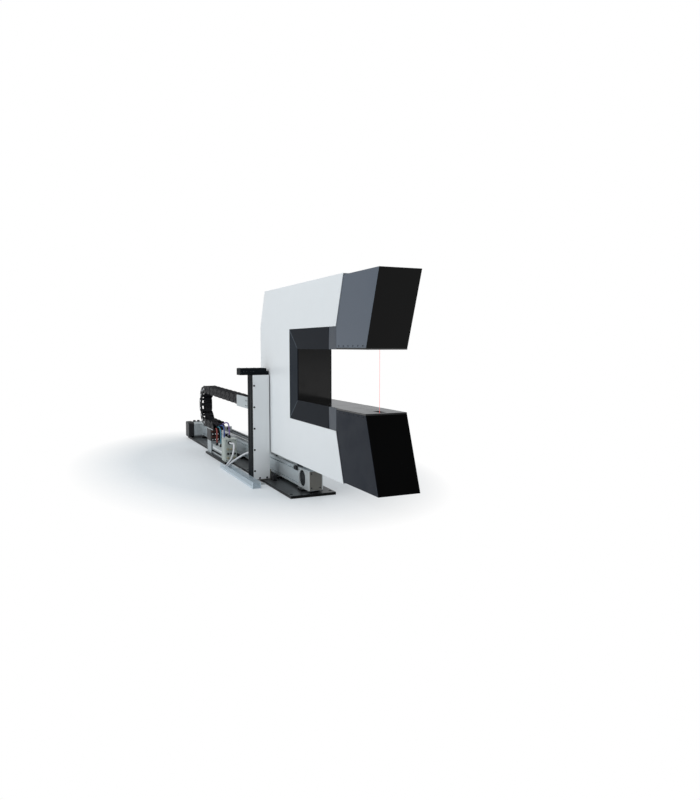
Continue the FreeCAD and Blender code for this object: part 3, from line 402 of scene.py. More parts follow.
def base_paint():
    """Black paint with scratches and swept dust."""
    paint = Surface("base_black_paint")
    scratches = paint.span(paint.noise(160.0, 6.0, (0.05, 1, 1)), 0.62, 0.72)
    dust = paint.span(paint.noise(7.0, 7.0), 0.4, 0.8)
    base = paint.mix(dust * 0.3, linear("#2c2e30"), linear("#55595b"))
    paint.give("Base Color", paint.mix(scratches * 0.25, base, linear("#7c8183")))
    paint.give("Roughness", 0.3 + dust * 0.2)
    return paint.relief(paint.noise(700.0, 3.0), 0.0002, 0.4).material


def surround_coat(tone):
    """Anthracite coat of the throat's surround: the upright members are painted darker as shade, and a
    painted highlight runs along the mitre lines where the members meet.
    """
    coat = Surface("surround_coat")
    highlight_width = 0.022
    wide = THROAT_X - RING[0].x
    gap = (LINER[1].z - LINER[0].z) / 2
    tall = (RING[1].z - RING[0].z) / 2 - gap
    across = (coat.axes[0] - RING[0].x) / wide
    up = (abs(coat.axes[2] - (RING[0].z + RING[1].z) / 2) - gap) / tall
    both = across + up
    # Painted highlight: a light line along each mitre
    mitre_highlight = (abs(both - 1.0) < highlight_width) * (across < 1.0)
    # Painted shade: the upright members darker than the top and bottom ones
    upright = (both < 1.0) * (across < 1.0)
    slow = coat.noise(3.0, 4.0)
    base = coat.mix(upright, linear(tone), linear("#20262d"))
    shaded = coat.mix(slow * 0.2, base, linear("#2c323a"))
    coat.give("Base Color", coat.mix(mitre_highlight, shaded, linear("#5c646c")))
    coat.give("Roughness", 0.5 + slow * 0.08)
    coat.give("Specular IOR Level", 0.06)
    return coat.relief(coat.noise(900.0, 3.0), 0.0002, 0.35).material


def bearing_metal():
    """Black cap round a ground steel bearing, told apart by the distance from the axle, with a painted
    highlight along the cap's rim.
    """
    metal = Surface("bearing_and_cap")
    bearing, race, inner_ring, highlight_radius = 0.0211, 0.0165, 0.0285, 0.0445
    across = abs(metal.axes[0] - (FRONT_AXLE + REAR_AXLE) / 2) - (FRONT_AXLE - REAR_AXLE) / 2
    up = metal.axes[2] - AXLE_Z
    radius = (across * across + up * up) ** 0.5
    steel = radius < bearing
    groove = (abs(radius - race) < 0.0022) * steel
    lines = metal.noise(900.0, 3.0, (1, 0.1, 1))
    bright = metal.mix(lines, linear("#26282c"), linear("#3a3d42"))
    ground = metal.mix(groove, bright, linear("#101114"))
    # Painted highlight: a light ring at the cap's rim
    rim_highlight = abs(radius - highlight_radius) < 0.0009
    inner = abs(radius - inner_ring) < 0.0012
    cap = metal.mix(rim_highlight, metal.mix(inner, linear("#040405"), linear("#4c5358")), linear("#8d9497"))
    metal.give("Base Color", metal.mix(steel, cap, ground))
    metal.give("Metallic", steel * 0.9)
    metal.give("Roughness", 0.5 - steel * 0.2 + lines * 0.06)
    metal.give("Specular IOR Level", 0.15)
    return metal.relief(lines, 0.00006, 0.3).material


def block_metal():
    """Ground steel guide block whose two end caps are dark plastic."""
    metal = Surface("guide_block_steel")
    half_block, half_steel = 0.045, 0.034
    middle = (BLOCKS[0].x + BLOCKS[1].x) / 2
    reach = (BLOCKS[1].x - BLOCKS[0].x) / 2
    end = abs(abs(metal.axes[0] - middle) - (reach - half_block)) > half_steel
    lines = metal.noise(1200.0, 3.0, (0.03, 1, 1))
    bright = metal.mix(lines, linear("#7f8588"), linear("#a9aeb1"))
    metal.give("Base Color", metal.mix(end, bright, linear("#24313a")))
    metal.give("Metallic", 0.85 - end * 0.85)
    metal.give("Roughness", 0.3 + lines * 0.1 + end * 0.15)
    return metal.relief(lines, 0.00006, 0.3).material


def duct_plastic():
    """Pale slotted duct, darker inside where little light falls."""
    plastic = Surface("duct_moulding")
    wall, end = 0.0021, 0.003
    middle = (DUCT[0].y + DUCT[1].y) / 2
    inside = abs(plastic.axes[1] - middle) < (DUCT[1].y - DUCT[0].y) / 2 - wall
    inside = inside * (plastic.axes[0] < DUCT[1].x - end)
    slow = plastic.noise(9.0, 2.0)
    base = plastic.mix(inside, linear("#bfcbd3"), linear("#9fadb6"))
    plastic.give("Base Color", plastic.mix(slow * 0.2, base, linear("#cbd5db")))
    plastic.give("Roughness", 0.5 + slow * 0.1)
    plastic.give("Specular IOR Level", 0.35)
    return plastic.relief(plastic.noise(2200.0, 2.0), 0.00012, 0.4).material


def coated_glass():
    """Dark coated window over the laser aperture."""
    glass = Surface("window_coated_glass")
    smear = glass.noise(60.0, 4.0)
    glass.give("Base Color", glass.mix(smear, linear("#0c1418"), linear("#16242c")))
    glass.give("Roughness", 0.05 + smear * 0.08)
    glass.give("Coat Weight", 0.8)
    return glass.relief(smear, 0.00002, 0.2).material


def glow(name, tone, strength):
    """Light of the measuring laser."""
    light = Surface(name)
    flicker = light.noise(300.0, 2.0)
    light.give("Base Color", light.mix(flicker, linear(tone), linear("#ff8a7a")))
    light.give("Emission Color", light.mix(flicker * 0.5, linear(tone), linear("#ff9a90")))
    light.give("Emission Strength", strength)
    return light.give("Roughness", 0.5 + flicker * 0.1).material


FINISHES = {}


def make_finishes(tones):
    """All finishes of the gauge, made once before its pieces."""
    FINISHES.update({
        "cover": coated("cover_white_coat", tones.cover, 0.38, 0.015, dust=0.02),
        "head": coated("head_anthracite_coat", tones.head, 0.42, dust=0.02, gloss=0.4),
        # Painted shade: the lower head is the same anthracite coat as the upper one, painted darker
        "head_painted_shade": coated("head_anthracite_painted_shade", "#181e28", 0.48, gloss=0.12),
        "nose": coated("nose_black_coat", tones.nose, 0.32, gloss=0.12),
        "nose_low": coated("nose_black_lower", tones.nose, 0.4, gloss=0.03),
        "window_plate": coated("window_plate_coat", "#0b0c0d", 0.16, depth=0.00003),
        "ring": surround_coat(tones.ring),
        "liner": coated("liner_black_coat", "#040404", 0.14, depth=0.00003, gloss=0.3),
        "neck": coated("neck_coat", "#3c434c", 0.42, gloss=0.35),
        "post_front": coated("post_panel_coat", tones.post, 0.4, 0.03, dust=0.02),
        "post_side": coated("post_side_coat", "#0e1317", 0.55, gloss=0.06),
        "dark_cover": coated("front_cover_coat", "#64615a", 0.5, 0.06, dust=0.05),
        "arm": coated("arm_coat", "#a9b1b4", 0.42, 0.04, dust=0.05),
        "motor": coated("motor_grey_coat", "#a3abae", 0.42, dust=0.05),
        "rib": coated("motor_rib_coat", "#b7bec1", 0.42, dust=0.05),
        "base": base_paint(),
        # Painted shade: the base's sides darker than its top, in the same black paint
        "base_side_shade": coated("base_side_painted_shade", "#0b0b0c", 0.4, gloss=0.1),
        "extrusion": brushed("profile_anodised", tones.module, 0.42, (0.01, 1, 1), 0.55),
        "milled": brushed("milled_aluminium", "#c3c9cb", 0.4, (1, 0.04, 1), 0.5),
        "end_plate": brushed("end_plate_aluminium", "#c3c8c9", 0.42, (1, 1, 0.04), 0.45),
        "steel": brushed("ground_steel", "#a6abad", 0.28, (0.01, 1, 1), 0.95),
        "screw": brushed("screw_steel", "#7d8285", 0.34, (1, 1, 1), 0.9),
        "dark_screw": brushed("screw_black_oxide", "#2b2d30", 0.4, (1, 1, 1), 0.6),
        "brass": brushed("nickel_brass", "#b3ab93", 0.3, (1, 1, 0.2), 0.9),
        "black": moulded("black_moulding", "#17181b", 0.48),
        "chain": moulded("chain_moulding", "#111216", 0.55, gloss=0.15),
        "boss": moulded("chain_pin_moulding", "#d5d8da", 0.5, worn="#8d9194", wear=0.1),
        "hose": jacket("black_hose", "#1c1a22"),
        "brown": moulded("brown_moulding", "#3b1f18", 0.5),
        "white": moulded("white_moulding", "#dcdfe0", 0.5, worn="#a2a6a8"),
        "terminal": moulded("terminal_box_moulding", "#aab2ad", 0.5, worn="#70756f"),
        "valve": moulded("valve_moulding", "#a3aaab", 0.5, worn="#5f6466"),
        "valve_dark": moulded("valve_dark_moulding", "#33373b", 0.5),
        "duct": duct_plastic(),
        "rubber": moulded("rubber", "#121212", 0.7, grain=1400.0, wear=0.03),
        "purple": jacket("purple_jacket", "#6a5490"),
        "blue": jacket("blue_jacket", "#2d4487"),
        "teal": jacket("teal_jacket", "#2f7487"),
        "red": jacket("red_jacket", "#8c3a34"),
        "grey": jacket("grey_jacket", "#c8cace"),
        "bearing": bearing_metal(),
        "block": block_metal(),
        "glass": coated_glass(),
        "beam": glow("laser_beam_light", "#c8404a", 0.9),
    })


# Softened copies of the modelled pieces
def islands(mesh):
    """Groups of faces that hang together."""
    left = set(mesh.faces)
    groups = []
    while left:
        stack = [left.pop()]
        group = list(stack)
        while stack:
            face = stack.pop()
            for edge in face.edges:
                for other in edge.link_faces:
                    if other in left:
                        left.remove(other)
                        stack.append(other)
                        group.append(other)
        groups.append(group)
    return groups


def corners_of(group):
    """Lowest and highest corner of a group of faces."""
    points = [vertex.co for face in group for vertex in face.verts]
    return (Vector(min(point[i] for point in points) for i in range(3)),
            Vector(max(point[i] for point in points) for i in range(3)))


def merged(node, choose=None):
    """Copy of a node's mesh with shared corners and whole flat faces, and a finish number for each face.

    Solids that touch along an edge come apart there, so that each keeps its own shape.
    """
    work = bmesh.new()
    work.from_mesh(NODES[node].data)
    bmesh.ops.remove_doubles(work, verts=work.verts, dist=1e-6)
    bmesh.ops.dissolve_limit(work, angle_limit=math.radians(0.5), verts=work.verts, edges=work.edges)
    shared = [edge for edge in work.edges if len(edge.link_faces) > 2]
    if shared:
        bmesh.ops.split_edges(work, edges=shared)
    for group in islands(work):
        low, high = corners_of(group)
        for face in group:
            face.smooth = True
            face.material_index = choose(low, high, face.normal) if choose else 0
    return mesh_from(work, node)


def softened(node, finishes, width, choose=None, segments=2):
    """Copy of a node with its finishes and with edges rounded to the width given."""
    names = finishes if isinstance(finishes, tuple) else (finishes,)
    piece = solid_piece("soft_" + node, merged(node, choose), *[FINISHES[name] for name in names])
    round_edges(piece, width, segments)
    return plain(piece)


def round_edges(piece, width, segments):
    bevel = piece.modifiers.new("Edges", "BEVEL")
    bevel.width = width
    bevel.segments = segments
    bevel.limit_method = "ANGLE"
    bevel.angle_limit = math.radians(32)
    bevel.miter_outer = "MITER_ARC"
    weighted = piece.modifiers.new("Normals", "WEIGHTED_NORMAL")
    weighted.weight = 100
    weighted.keep_sharp = True


def body_of(node):
    return NODES[node]["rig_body"]


def slot_of(node):
    return next(part["material_slot"] for part in frame["record"]["subparts"] if part["node"] == node)


def looks_ahead(low, high, side):
    """Number of the finish: the second one on faces that look to the nose."""
    return int(side.x > 0.8)


def dress(node, finishes, width, choose=None, segments=2):
    """Shows a softened copy of a node, on its body, in the node's place."""
    piece = softened(node, finishes, width, choose, segments)
    return settle(piece, body_of(node), slot_of(node), node)


def paint(node, *finishes):
    """Gives a node that is shown as it is its finish."""
    mesh = NODES[node].data
    mesh.materials.clear()
    for name in finishes:
        mesh.materials.append(FINISHES[name])


# Rows of small pieces, made by geometry nodes
ROW_TREE = "Row of pieces"


def row_tree():
    """Tree that adds an evenly spaced row of one small piece to a mesh."""
    tree = bpy.data.node_groups.new(ROW_TREE, "GeometryNodeTree")
    face = tree.interface
    inputs = {"Geometry": "Geometry", "Piece": "Object", "Start": "Vector", "Step": "Vector", "Count": "Int",
              "Facing": "Vector", "Size": "Float", "Finish": "Material"}
    for name, kind in inputs.items():
        face.new_socket(name, in_out="INPUT", socket_type="NodeSocket" + kind)
    face.new_socket("Geometry", in_out="OUTPUT", socket_type="NodeSocketGeometry")

    nodes = Nodes(tree)
    outputs = nodes.add("NodeGroupInput").socket.node.outputs
    given = {socket.name: Value(tree, socket) for socket in outputs}
    line = nodes.add("GeometryNodeMeshLine", {"mode": "OFFSET"},
                     {"Count": given["Count"], "Start Location": given["Start"], "Offset": given["Step"]})
    turn = nodes.add("FunctionNodeAlignRotationToVector", {"axis": "Z"}, {"Vector": given["Facing"]})
    piece = nodes.add("GeometryNodeObjectInfo", {}, {"Object": given["Piece"]}, "Geometry")
    placed = nodes.add("GeometryNodeInstanceOnPoints", {},
                       {"Points": line, "Instance": piece, "Rotation": turn, "Scale": given["Size"]})
    real = nodes.add("GeometryNodeRealizeInstances", {}, {"Geometry": placed})
    finished = nodes.add("GeometryNodeSetMaterial", {}, {"Geometry": real, "Material": given["Finish"]})
    both = nodes.add("GeometryNodeJoinGeometry")
    for item in (given["Geometry"], finished):
        tree.links.new(item.socket, both.socket.node.inputs["Geometry"])
    nodes.add("NodeGroupOutput", {}, {"Geometry": both})


SMALL = {}


def single(small, finish, place, facing, size=1.0):
    """Row of one."""
    return (small, finish, place, (0, 0, 0), 1, facing, size)


def rows_piece(name, body, slot, rows):
    """Piece made of rows of (small piece, finish, start, step, count, facing, size)."""
    piece = solid_piece(name, bpy.data.meshes.new(name))
    tree = bpy.data.node_groups[ROW_TREE]
    for small, finish, start, step, count, facing, size in rows:
        row = piece.modifiers.new("Row", "NODES")
        row.node_group = tree
        given = {"Piece": SMALL[small], "Start": start, "Step": step, "Count": count, "Facing": facing,
                 "Size": size, "Finish": FINISHES[finish]}
        for item in tree.interface.items_tree:
            if item.in_out == "INPUT" and item.name in given:
                row[item.identifier] = given[item.name]
    return settle(plain(piece), body, slot)


def skin(work, rings, smooth):
    """Faces from ring to ring and over both ends."""
    sides = len(rings[0])
    for low, high in zip(rings, rings[1:]):
        for i in range(sides):
            after = (i + 1) % sides
            work.faces.new((low[i], low[after], high[after], high[i])).smooth = smooth
    work.faces.new(list(reversed(rings[0])))
    work.faces.new(rings[-1])


def turned(name, profile, sides, hexagon=()):
    """Piece turned about Z from (radius, height) pairs; rings whose numbers hexagon gives are six-sided."""
    work = bmesh.new()
    rings = []
    for number, (radius, height) in enumerate(profile):
        ring = []
        for i in range(sides):
            angle = 2 * math.pi * i / sides
            reach = radius
            if number in hexagon:
                reach = radius * math.cos(math.pi / 6) / math.cos(angle % (math.pi / 3) - math.pi / 6)
            ring.append(work.verts.new((reach * math.cos(angle), reach * math.sin(angle), height)))
        rings.append(ring)
    skin(work, rings, False)
    bmesh.ops.recalc_face_normals(work, faces=work.faces)
    mesh = mesh_from(work, name)
    mesh.set_sharp_from_angle(angle=math.radians(35))
    return link(bpy.data.objects.new(name, mesh))


def small_block(name, size, bevel):
    """Small block about its own middle, standing on Z = 0, with bevelled edges."""
    work = bmesh.new()
    bmesh.ops.create_cube(work, size=1.0)
    for vertex in work.verts:
        vertex.co = Vector((vertex.co.x * size[0], vertex.co.y * size[1], (vertex.co.z + 0.5) * size[2]))
    bmesh.ops.bevel(work, geom=work.edges[:], offset=bevel, segments=1, affect="EDGES")
    return link(bpy.data.objects.new(name, mesh_from(work, name)))


def make_small_pieces():
    """Heads of unit radius, which the rows scale, and small blocks at their real size."""
    socket = (3, 4, 5)
    rounds = {
        "socket_head": ([(1, 0), (1, 0.85), (0.92, 1), (0.58, 1), (0.55, 0.95), (0.55, 0.4)], 12, socket),
        "button_head": ([(1, 0), (0.97, 0.2), (0.8, 0.42), (0.46, 0.52), (0.42, 0.5), (0.42, 0.15)], 12,
                        socket),
        "sunk_head": ([(1, 0), (1, 0.05), (0.95, 0.08), (0.48, 0.08), (0.45, 0.06), (0.45, 0.01)], 12,
                      socket),
        "boss": ([(1, 0), (1, 0.12), (0.85, 0.2), (0.3, 0.2), (0.25, 0.12)], 14),
        "fitting": ([(1, 0), (1, 0.5), (0.8, 0.6), (0.8, 1.1), (0.95, 1.15), (0.95, 1.5), (0.5, 1.6),
                     (0.5, 1.2)], 14),
        "push_button": ([(1, 0), (1, 0.4), (0.8, 0.55), (0.2, 0.55)], 12),
    }
    blocks = {
        "motor_rib": ((0.0032, 0.0024, 0.104), 0.0004),
        "station_cap": ((0.020, 0.030, 0.004), 0.0008),
        "station_label": ((0.022, 0.014, 0.0012), 0.0003),
        "comb_tooth": ((0.014, 0.005, 0.030), 0.0008),
        "comb_bar": ((0.014, 0.086, 0.006), 0.0008),
        "box_lid": ((0.082, 0.150, 0.003), 0.001),
        "connector": ((0.018, 0.016, 0.016), 0.002),
        "foot_clamp": ((0.024, 0.026, 0.034), 0.003),
    }
    for name, given in rounds.items():
        SMALL[name] = turned(name, *given)
    for name, given in blocks.items():
        SMALL[name] = small_block(name, *given)


def remove_small_pieces():
    """Takes out the rows' single pieces once every row is a plain mesh."""
    for piece in SMALL.values():
        bpy.data.objects.remove(piece)
    SMALL.clear()


# Sizes and tones that a user would change
class GaugeTones(bpy.types.PropertyGroup):
    """Main paint tones of the gauge."""

    cover: bpy.props.FloatVectorProperty(
        name="Cover", description="Tone of the side covers", default=linear("#e2e6e8")[:3],
        subtype="COLOR", min=0.0, max=1.0)
    head: bpy.props.FloatVectorProperty(
        name="Heads", description="Tone of the upper laser head", default=linear("#4f5864")[:3],
        subtype="COLOR", min=0.0, max=1.0)
    nose: bpy.props.FloatVectorProperty(
        name="Noses", description="Tone of the heads' front faces", default=linear("#040404")[:3],
        subtype="COLOR", min=0.0, max=1.0)
    ring: bpy.props.FloatVectorProperty(
        name="Surround", description="Tone of the throat's surround", default=linear("#15191f")[:3],
        subtype="COLOR", min=0.0, max=1.0)
    post: bpy.props.FloatVectorProperty(
        name="Post", description="Tone of the post's front panel", default=linear("#e6e9ea")[:3],
        subtype="COLOR", min=0.0, max=1.0)
    module: bpy.props.FloatVectorProperty(
        name="Module", description="Tone of the module's profile", default=linear("#cad3d7")[:3],
        subtype="COLOR", min=0.0, max=1.0)


class GaugeSizes(bpy.types.PropertyGroup):
    """Edge radii and diameters of the gauge's details."""

    cover_edge: bpy.props.FloatProperty(
        name="Cover edge", description="Radius of the covers' edges", default=0.0012, unit="LENGTH")
    head_edge: bpy.props.FloatProperty(
        name="Head edge", description="Radius of the heads' edges", default=0.002, unit="LENGTH")
    plate_edge: bpy.props.FloatProperty(
        name="Plate edge", description="Radius of plate edges", default=0.0008, unit="LENGTH")
    lead: bpy.props.FloatProperty(
        name="Lead", description="Diameter of the coloured leads", default=0.009, unit="LENGTH")
    cable: bpy.props.FloatProperty(
        name="Cable", description="Diameter of the grey cables", default=0.012, unit="LENGTH")
    beam: bpy.props.FloatProperty(
        name="Beam", description="Radius of the laser beam", default=0.0007, unit="LENGTH")
    floor: bpy.props.FloatProperty(
        name="Floor", description="Half width of the floor", default=30.0, unit="LENGTH")


# Stage
def aim(piece, place, target):
    piece.location = place
    piece.rotation_euler = (Vector(target) - Vector(place)).to_track_quat("-Z", "Y").to_euler()
    return link(piece)


def softbox(name, place, target, size, power):
    lamp = bpy.data.lights.new(name, "AREA")
    lamp.shape = "RECTANGLE"
    lamp.size, lamp.size_y = size
    lamp.energy = power
    return aim(bpy.data.objects.new(name, lamp), place, target)


def camera():
    level = math.cos(EYE_DROP)
    ahead = Vector((-math.cos(EYE_AZIMUTH) * level, math.sin(EYE_AZIMUTH) * level, -math.sin(EYE_DROP)))
    eye = bpy.data.cameras.new("camera")
    eye.sensor_fit = "VERTICAL"
    eye.sensor_height = EYE_SENSOR
    eye.lens = EYE_LENS
    bpy.context.scene.camera = aim(bpy.data.objects.new("camera", eye), EYE, EYE + ahead)


def seen_by(nodes, *rays):
    """One where the ray is of a named kind, else zero."""
    kinds = [nodes.add("ShaderNodeLightPath", output="Is " + ray + " Ray") for ray in rays]
    found = kinds[0]
    for other in kinds[1:]:
        found = found.maths("MAXIMUM", found, other)
    return found


def floor_finish():
    """Pale floor that fades to white away from the gauge."""
    floor = Surface("floor")
    along = (floor.axes[0] - FLOOR_MIDDLE[0]) / FLOOR_REACH[0]
    across = (floor.axes[1] - FLOOR_MIDDLE[1]) / FLOOR_REACH[1]
    far = floor.span((along * along + across * across) ** 0.5, 0.6, 1.0)
    pale = 0.15 + far * 0.85
    floor.give("Base Color", floor.mix(floor.noise(2.0, 3.0), linear("#dbe3e8"), linear("#e0e7ec")))
    floor.give("Roughness", 0.5)
    seen = seen_by(floor, "Camera", "Glossy", "Transmission")
    white = floor.add("ShaderNodeEmission", {}, {"Color": (1, 1, 1, 1), "Strength": 1.0})
    blend = floor.add("ShaderNodeMixShader", {}, {0: pale * seen, 1: floor.shaded(), 2: white})
    floor.tree.links.new(blend.socket, floor.tree.nodes["Material Output"].inputs["Surface"])
    return floor.material


def plain_world():
    """Pale sky that lights the gauge, and plain white where the camera sees it."""
    world = bpy.data.worlds.new("studio")
    world.use_nodes = True
    nodes = Nodes(world.node_tree)
    sky = nodes.tree.nodes["Background"]
    sky.inputs["Color"].default_value = SKY_COLOUR
    sky.inputs["Strength"].default_value = SKY_STRENGTH
    white = nodes.add("ShaderNodeBackground", {}, {"Color": (1, 1, 1, 1)})
    seen = seen_by(nodes, "Camera", "Transmission")
    blend = nodes.add("ShaderNodeMixShader", {}, {0: seen, 1: Value(nodes.tree, sky.outputs[0]), 2: white})
    nodes.tree.links.new(blend.socket, nodes.tree.nodes["World Output"].inputs["Surface"])
    bpy.context.scene.world = world


class GAUGE_OT_stage(bpy.types.Operator):
    """Camera, floor, lamps and world"""

    bl_idname = "gauge.stage"
    bl_label = "Stage"

    def execute(self, context):
        camera()
        half = context.scene.gauge_sizes.floor
        mesh = bpy.data.meshes.new("floor")
        corners = [(-half, -half, 0), (half, -half, 0), (half, half, 0), (-half, half, 0)]
        mesh.from_pydata(corners, [], [(0, 1, 2, 3)])
        solid_piece("floor", mesh, floor_finish())
        plain_world()
        for name, given in LAMPS.items():
            softbox(name, *given)
        context.scene.view_settings.view_transform = "Standard"
        return {"FINISHED"}


# Leads and cables
def from_chain(place):
    """Place whose X is counted from the chain's fixed end."""
    return (CHAIN_END + place[0], place[1], place[2])


def strand(name, route, diameter, finish):
    """Round lead whose middle follows a route."""
    curve = bpy.data.curves.new(name, "CURVE")
    curve.dimensions = "3D"
    curve.resolution_u = 12
    curve.bevel_depth = diameter / 2
    curve.bevel_resolution = 4
    curve.use_fill_caps = True
    line = curve.splines.new("NURBS")
    line.points.add(len(route) - 1)
    for point, place in zip(line.points, route):
        point.co = (*from_chain(place), 1)
    line.order_u = 3
    line.use_endpoint_u = True
    curve.materials.append(FINISHES[finish])
    return link(bpy.data.objects.new(name, curve))


def plug(tone, end):
    """Screwed round plug at the lower end of a lead, as wide and tall as the node's."""
    radius, tall = 0.0099, 0.022
    rings = [(0.97, 0), (1, 0.03), (1, 0.3), (0.88, 0.34), (0.88, 0.4), (0.96, 0.43), (0.96, 0.62),
             (0.74, 0.68), (0.7, 0.97), (0.55, 1)]
    piece = turned(tone + "_plug", [(radius * wide, tall * high) for wide, high in rings], 20)
    along, across, up = from_chain(end)
    piece.data.transform(Matrix.Translation((along, across, up - tall)))
    piece.data.materials.append(FINISHES["black"])
    return settle(piece, "base", "black_plastic", "lead_plugs")


class GAUGE_OT_leads(bpy.types.Operator):
    """Coloured leads from the chain to the blocks, and the grey cables to the duct"""

    bl_idname = "gauge.leads"
    bl_label = "Leads and cables"

    def execute(self, context):
        sizes = context.scene.gauge_sizes
        for tone, route in LEADS.items():
            lead = strand(tone + "_strand", route, sizes.lead, tone)
            settle(lead, "base", tone + "_jacket", tone + "_lead")
            from_chain(route[0])
            plug(tone, route[-1])
        for name, route in CABLES.items():
            cable = strand(name + "_strand", route, sizes.cable, "grey")
            settle(cable, "base", "grey_jacket", name)
            from_chain(route[0])
        return {"FINISHED"}


class GAUGE_OT_module(bpy.types.Operator):
    """Base plate, profile, housings, end pieces, belt, pulleys, rails and stops"""

    bl_idname = "gauge.module"
    bl_label = "Linear module"

    def execute(self, context):
        edge = context.scene.gauge_sizes.plate_edge
        for node in ("base_plate", "module_feet"):
            # Faces that do not look up take the base's painted shade
            dress(node, ("base", "base_side_shade"), edge, lambda low, high, side: int(side.z < 0.7))
        dress("module_profile", "extrusion", 0.0005)
        dress("front_pulley_housing", "milled", edge)
        dress("rear_pulley_housing", "milled", edge)
        dress("front_end_plate", "end_plate", edge)
        dress("front_cover", ("end_plate", "dark_cover"), edge, looks_ahead)
        paint("shaft_bearings", "bearing")
        paint("drive_belt", "rubber")
        for node in ("idler_pulley", "drive_pulley"):
            paint(node, "milled")
        for node in ("idler_shaft", "drive_shaft"):
            paint(node, "dark_screw")
        dress("guide_rails", "steel", 0.0006)
        dress("travel_stops", ("milled", "rubber"), 0.0006,
              lambda low, high, side: int(high.y - low.y < 0.03))
        dress("limit_switches", "black", 0.0008)
        return {"FINISHED"}


class GAUGE_OT_motor(bpy.types.Operator):
    """Servo motor: flange, body and end cap"""

    bl_idname = "gauge.motor"
    bl_label = "Motor"

    def execute(self, context):
        edge = context.scene.gauge_sizes.plate_edge
        dress("motor_flange", "milled", edge)
        dress("motor_body", "motor", 0.0008)
        dress("motor_end_cap", "black", 0.002, segments=3)
        return {"FINISHED"}


class GAUGE_OT_carriage(bpy.types.Operator):
    """Carriage plate, guide blocks and belt clamp"""

    bl_idname = "gauge.carriage"
    bl_label = "Carriage"

    def execute(self, context):
        edge = context.scene.gauge_sizes.plate_edge
        dress("carriage_plate", "milled", edge)
        dress("guide_blocks", "block", 0.0006)
        dress("belt_clamp", "milled", edge)
        return {"FINISHED"}


class GAUGE_OT_frame(bpy.types.Operator):
    """Covers, casing, core and throat of the C-frame"""

    bl_idname = "gauge.frame"
    bl_label = "C-frame"

    def execute(self, context):
        sizes = context.scene.gauge_sizes
        for node in ("side_cover_near", "side_cover_far", "edge_casing"):
            dress(node, "cover", sizes.cover_edge)
        dress("throat_surrounds", "ring", sizes.cover_edge)
        dress("neck_panels", "neck", sizes.cover_edge)
        dress("throat_liner", "liner", 0.0008)
        paint("frame_core", "milled")
        paint("core_spacers", "milled")
        return {"FINISHED"}


class GAUGE_OT_heads(bpy.types.Operator):
    """Laser heads with their window plates, sensors and beam"""

    bl_idname = "gauge.heads"
    bl_label = "Laser heads"

    def execute(self, context):
        sizes = context.scene.gauge_sizes
        dress("upper_head_shell", ("head", "nose"), sizes.head_edge, looks_ahead, 3)
        # The lower head takes the darker copy of the head coat, painted as shade
        dress("lower_head_shell", ("head_painted_shade", "nose_low"), sizes.head_edge, looks_ahead, 3)
        dress("upper_window_plate", "window_plate", 0.0008)
        dress("lower_window_plate", "window_plate", 0.0008)
        paint("window_glasses", "glass")
        paint("laser_sensors", "black")
        paint("sensor_brackets", "milled")
        self.beam(sizes.beam)
        return {"FINISHED"}

    def beam(self, radius):
        """Thin beam between the two windows, with a small spot where it leaves each."""
        low, high = GLASSES[0].z + 0.0045, GLASSES[1].z - 0.0045
        spot = 3.2 * radius
        foot = 0.0004
        profile = [(spot, low), (spot, low + foot), (radius, low + 2 * foot), (radius, high - 2 * foot),
                   (spot, high - foot), (spot, high)]
        piece = turned("laser_beam", profile, 16)
        piece.data.transform(Matrix.Translation((BEAM_X, 0, 0)))
        piece.data.materials.append(FINISHES["beam"])
        settle(piece, "carriage", "window_glass")


class GAUGE_OT_post(bpy.types.Operator):
    """Reference post with its panel, foot and reference piece"""

    bl_idname = "gauge.post"
    bl_label = "Reference post"

    def execute(self, context):
        edge = context.scene.gauge_sizes.plate_edge
        dress("post_profile", "post_side", edge)
        dress("post_panel", "post_front", edge)
        dress("post_foot", "dark_cover", edge)
        dress("reference_carrier", "post_side", edge)
        return {"FINISHED"}


# Energy chain
def bosses(pins, finish="boss"):
    """Pin bosses on both outer faces of a run's links."""
    return [single("boss", finish, (x, face, z), facing, BOSS_RADIUS) for x, z in pins
            for facing, face in ((NEAR, LOWER_RUN[0].y), (FAR, LOWER_RUN[1].y))]


def chain_path(run, steps):
    """Places (x, z) along the middle of one part of the chain."""
    if run == "lower":
        return [(CHAIN_END + (BEND_X - CHAIN_END) * i / steps, LOWER_Z) for i in range(steps + 1)]
    if run == "bend":
        middle = LOWER_Z + BEND_RADIUS
        turns = [math.pi * (0.5 + i / steps) for i in range(steps + 1)]
        return [(BEND_X + BEND_RADIUS * math.cos(turn), middle - BEND_RADIUS * math.sin(turn))
                for turn in turns]
    reaches = [UPPER_LINKS * PITCH * i / steps for i in range(steps + 1)]
    return [(BEND_X + reach * math.cos(UPPER_TILT), UPPER_Z - reach * math.sin(UPPER_TILT))
            for reach in reaches]


def hoses(name, path):
    """Row of dark hoses side by side along a path of (x, z) places, as one mesh."""
    work = bmesh.new()
    sides = 8
    for across, radius in HOSES:
        rings = []
        for place, (x, z) in enumerate(path):
            before, after = path[max(place - 1, 0)], path[min(place + 1, len(path) - 1)]
            ahead = Vector((after[0] - before[0], 0, after[1] - before[1])).normalized()
            out = Vector((-ahead.z, 0, ahead.x))
            ring = []
            for i in range(sides):
                turn = 2 * math.pi * i / sides
                spot = Vector((x, across, z)) + out * radius * math.cos(turn)
                ring.append(work.verts.new(spot + Vector((0, radius * math.sin(turn), 0))))
            rings.append(ring)
        skin(work, rings, True)
    bmesh.ops.recalc_face_normals(work, faces=work.faces)
    return solid_piece(name, mesh_from(work, name), FINISHES["hose"])


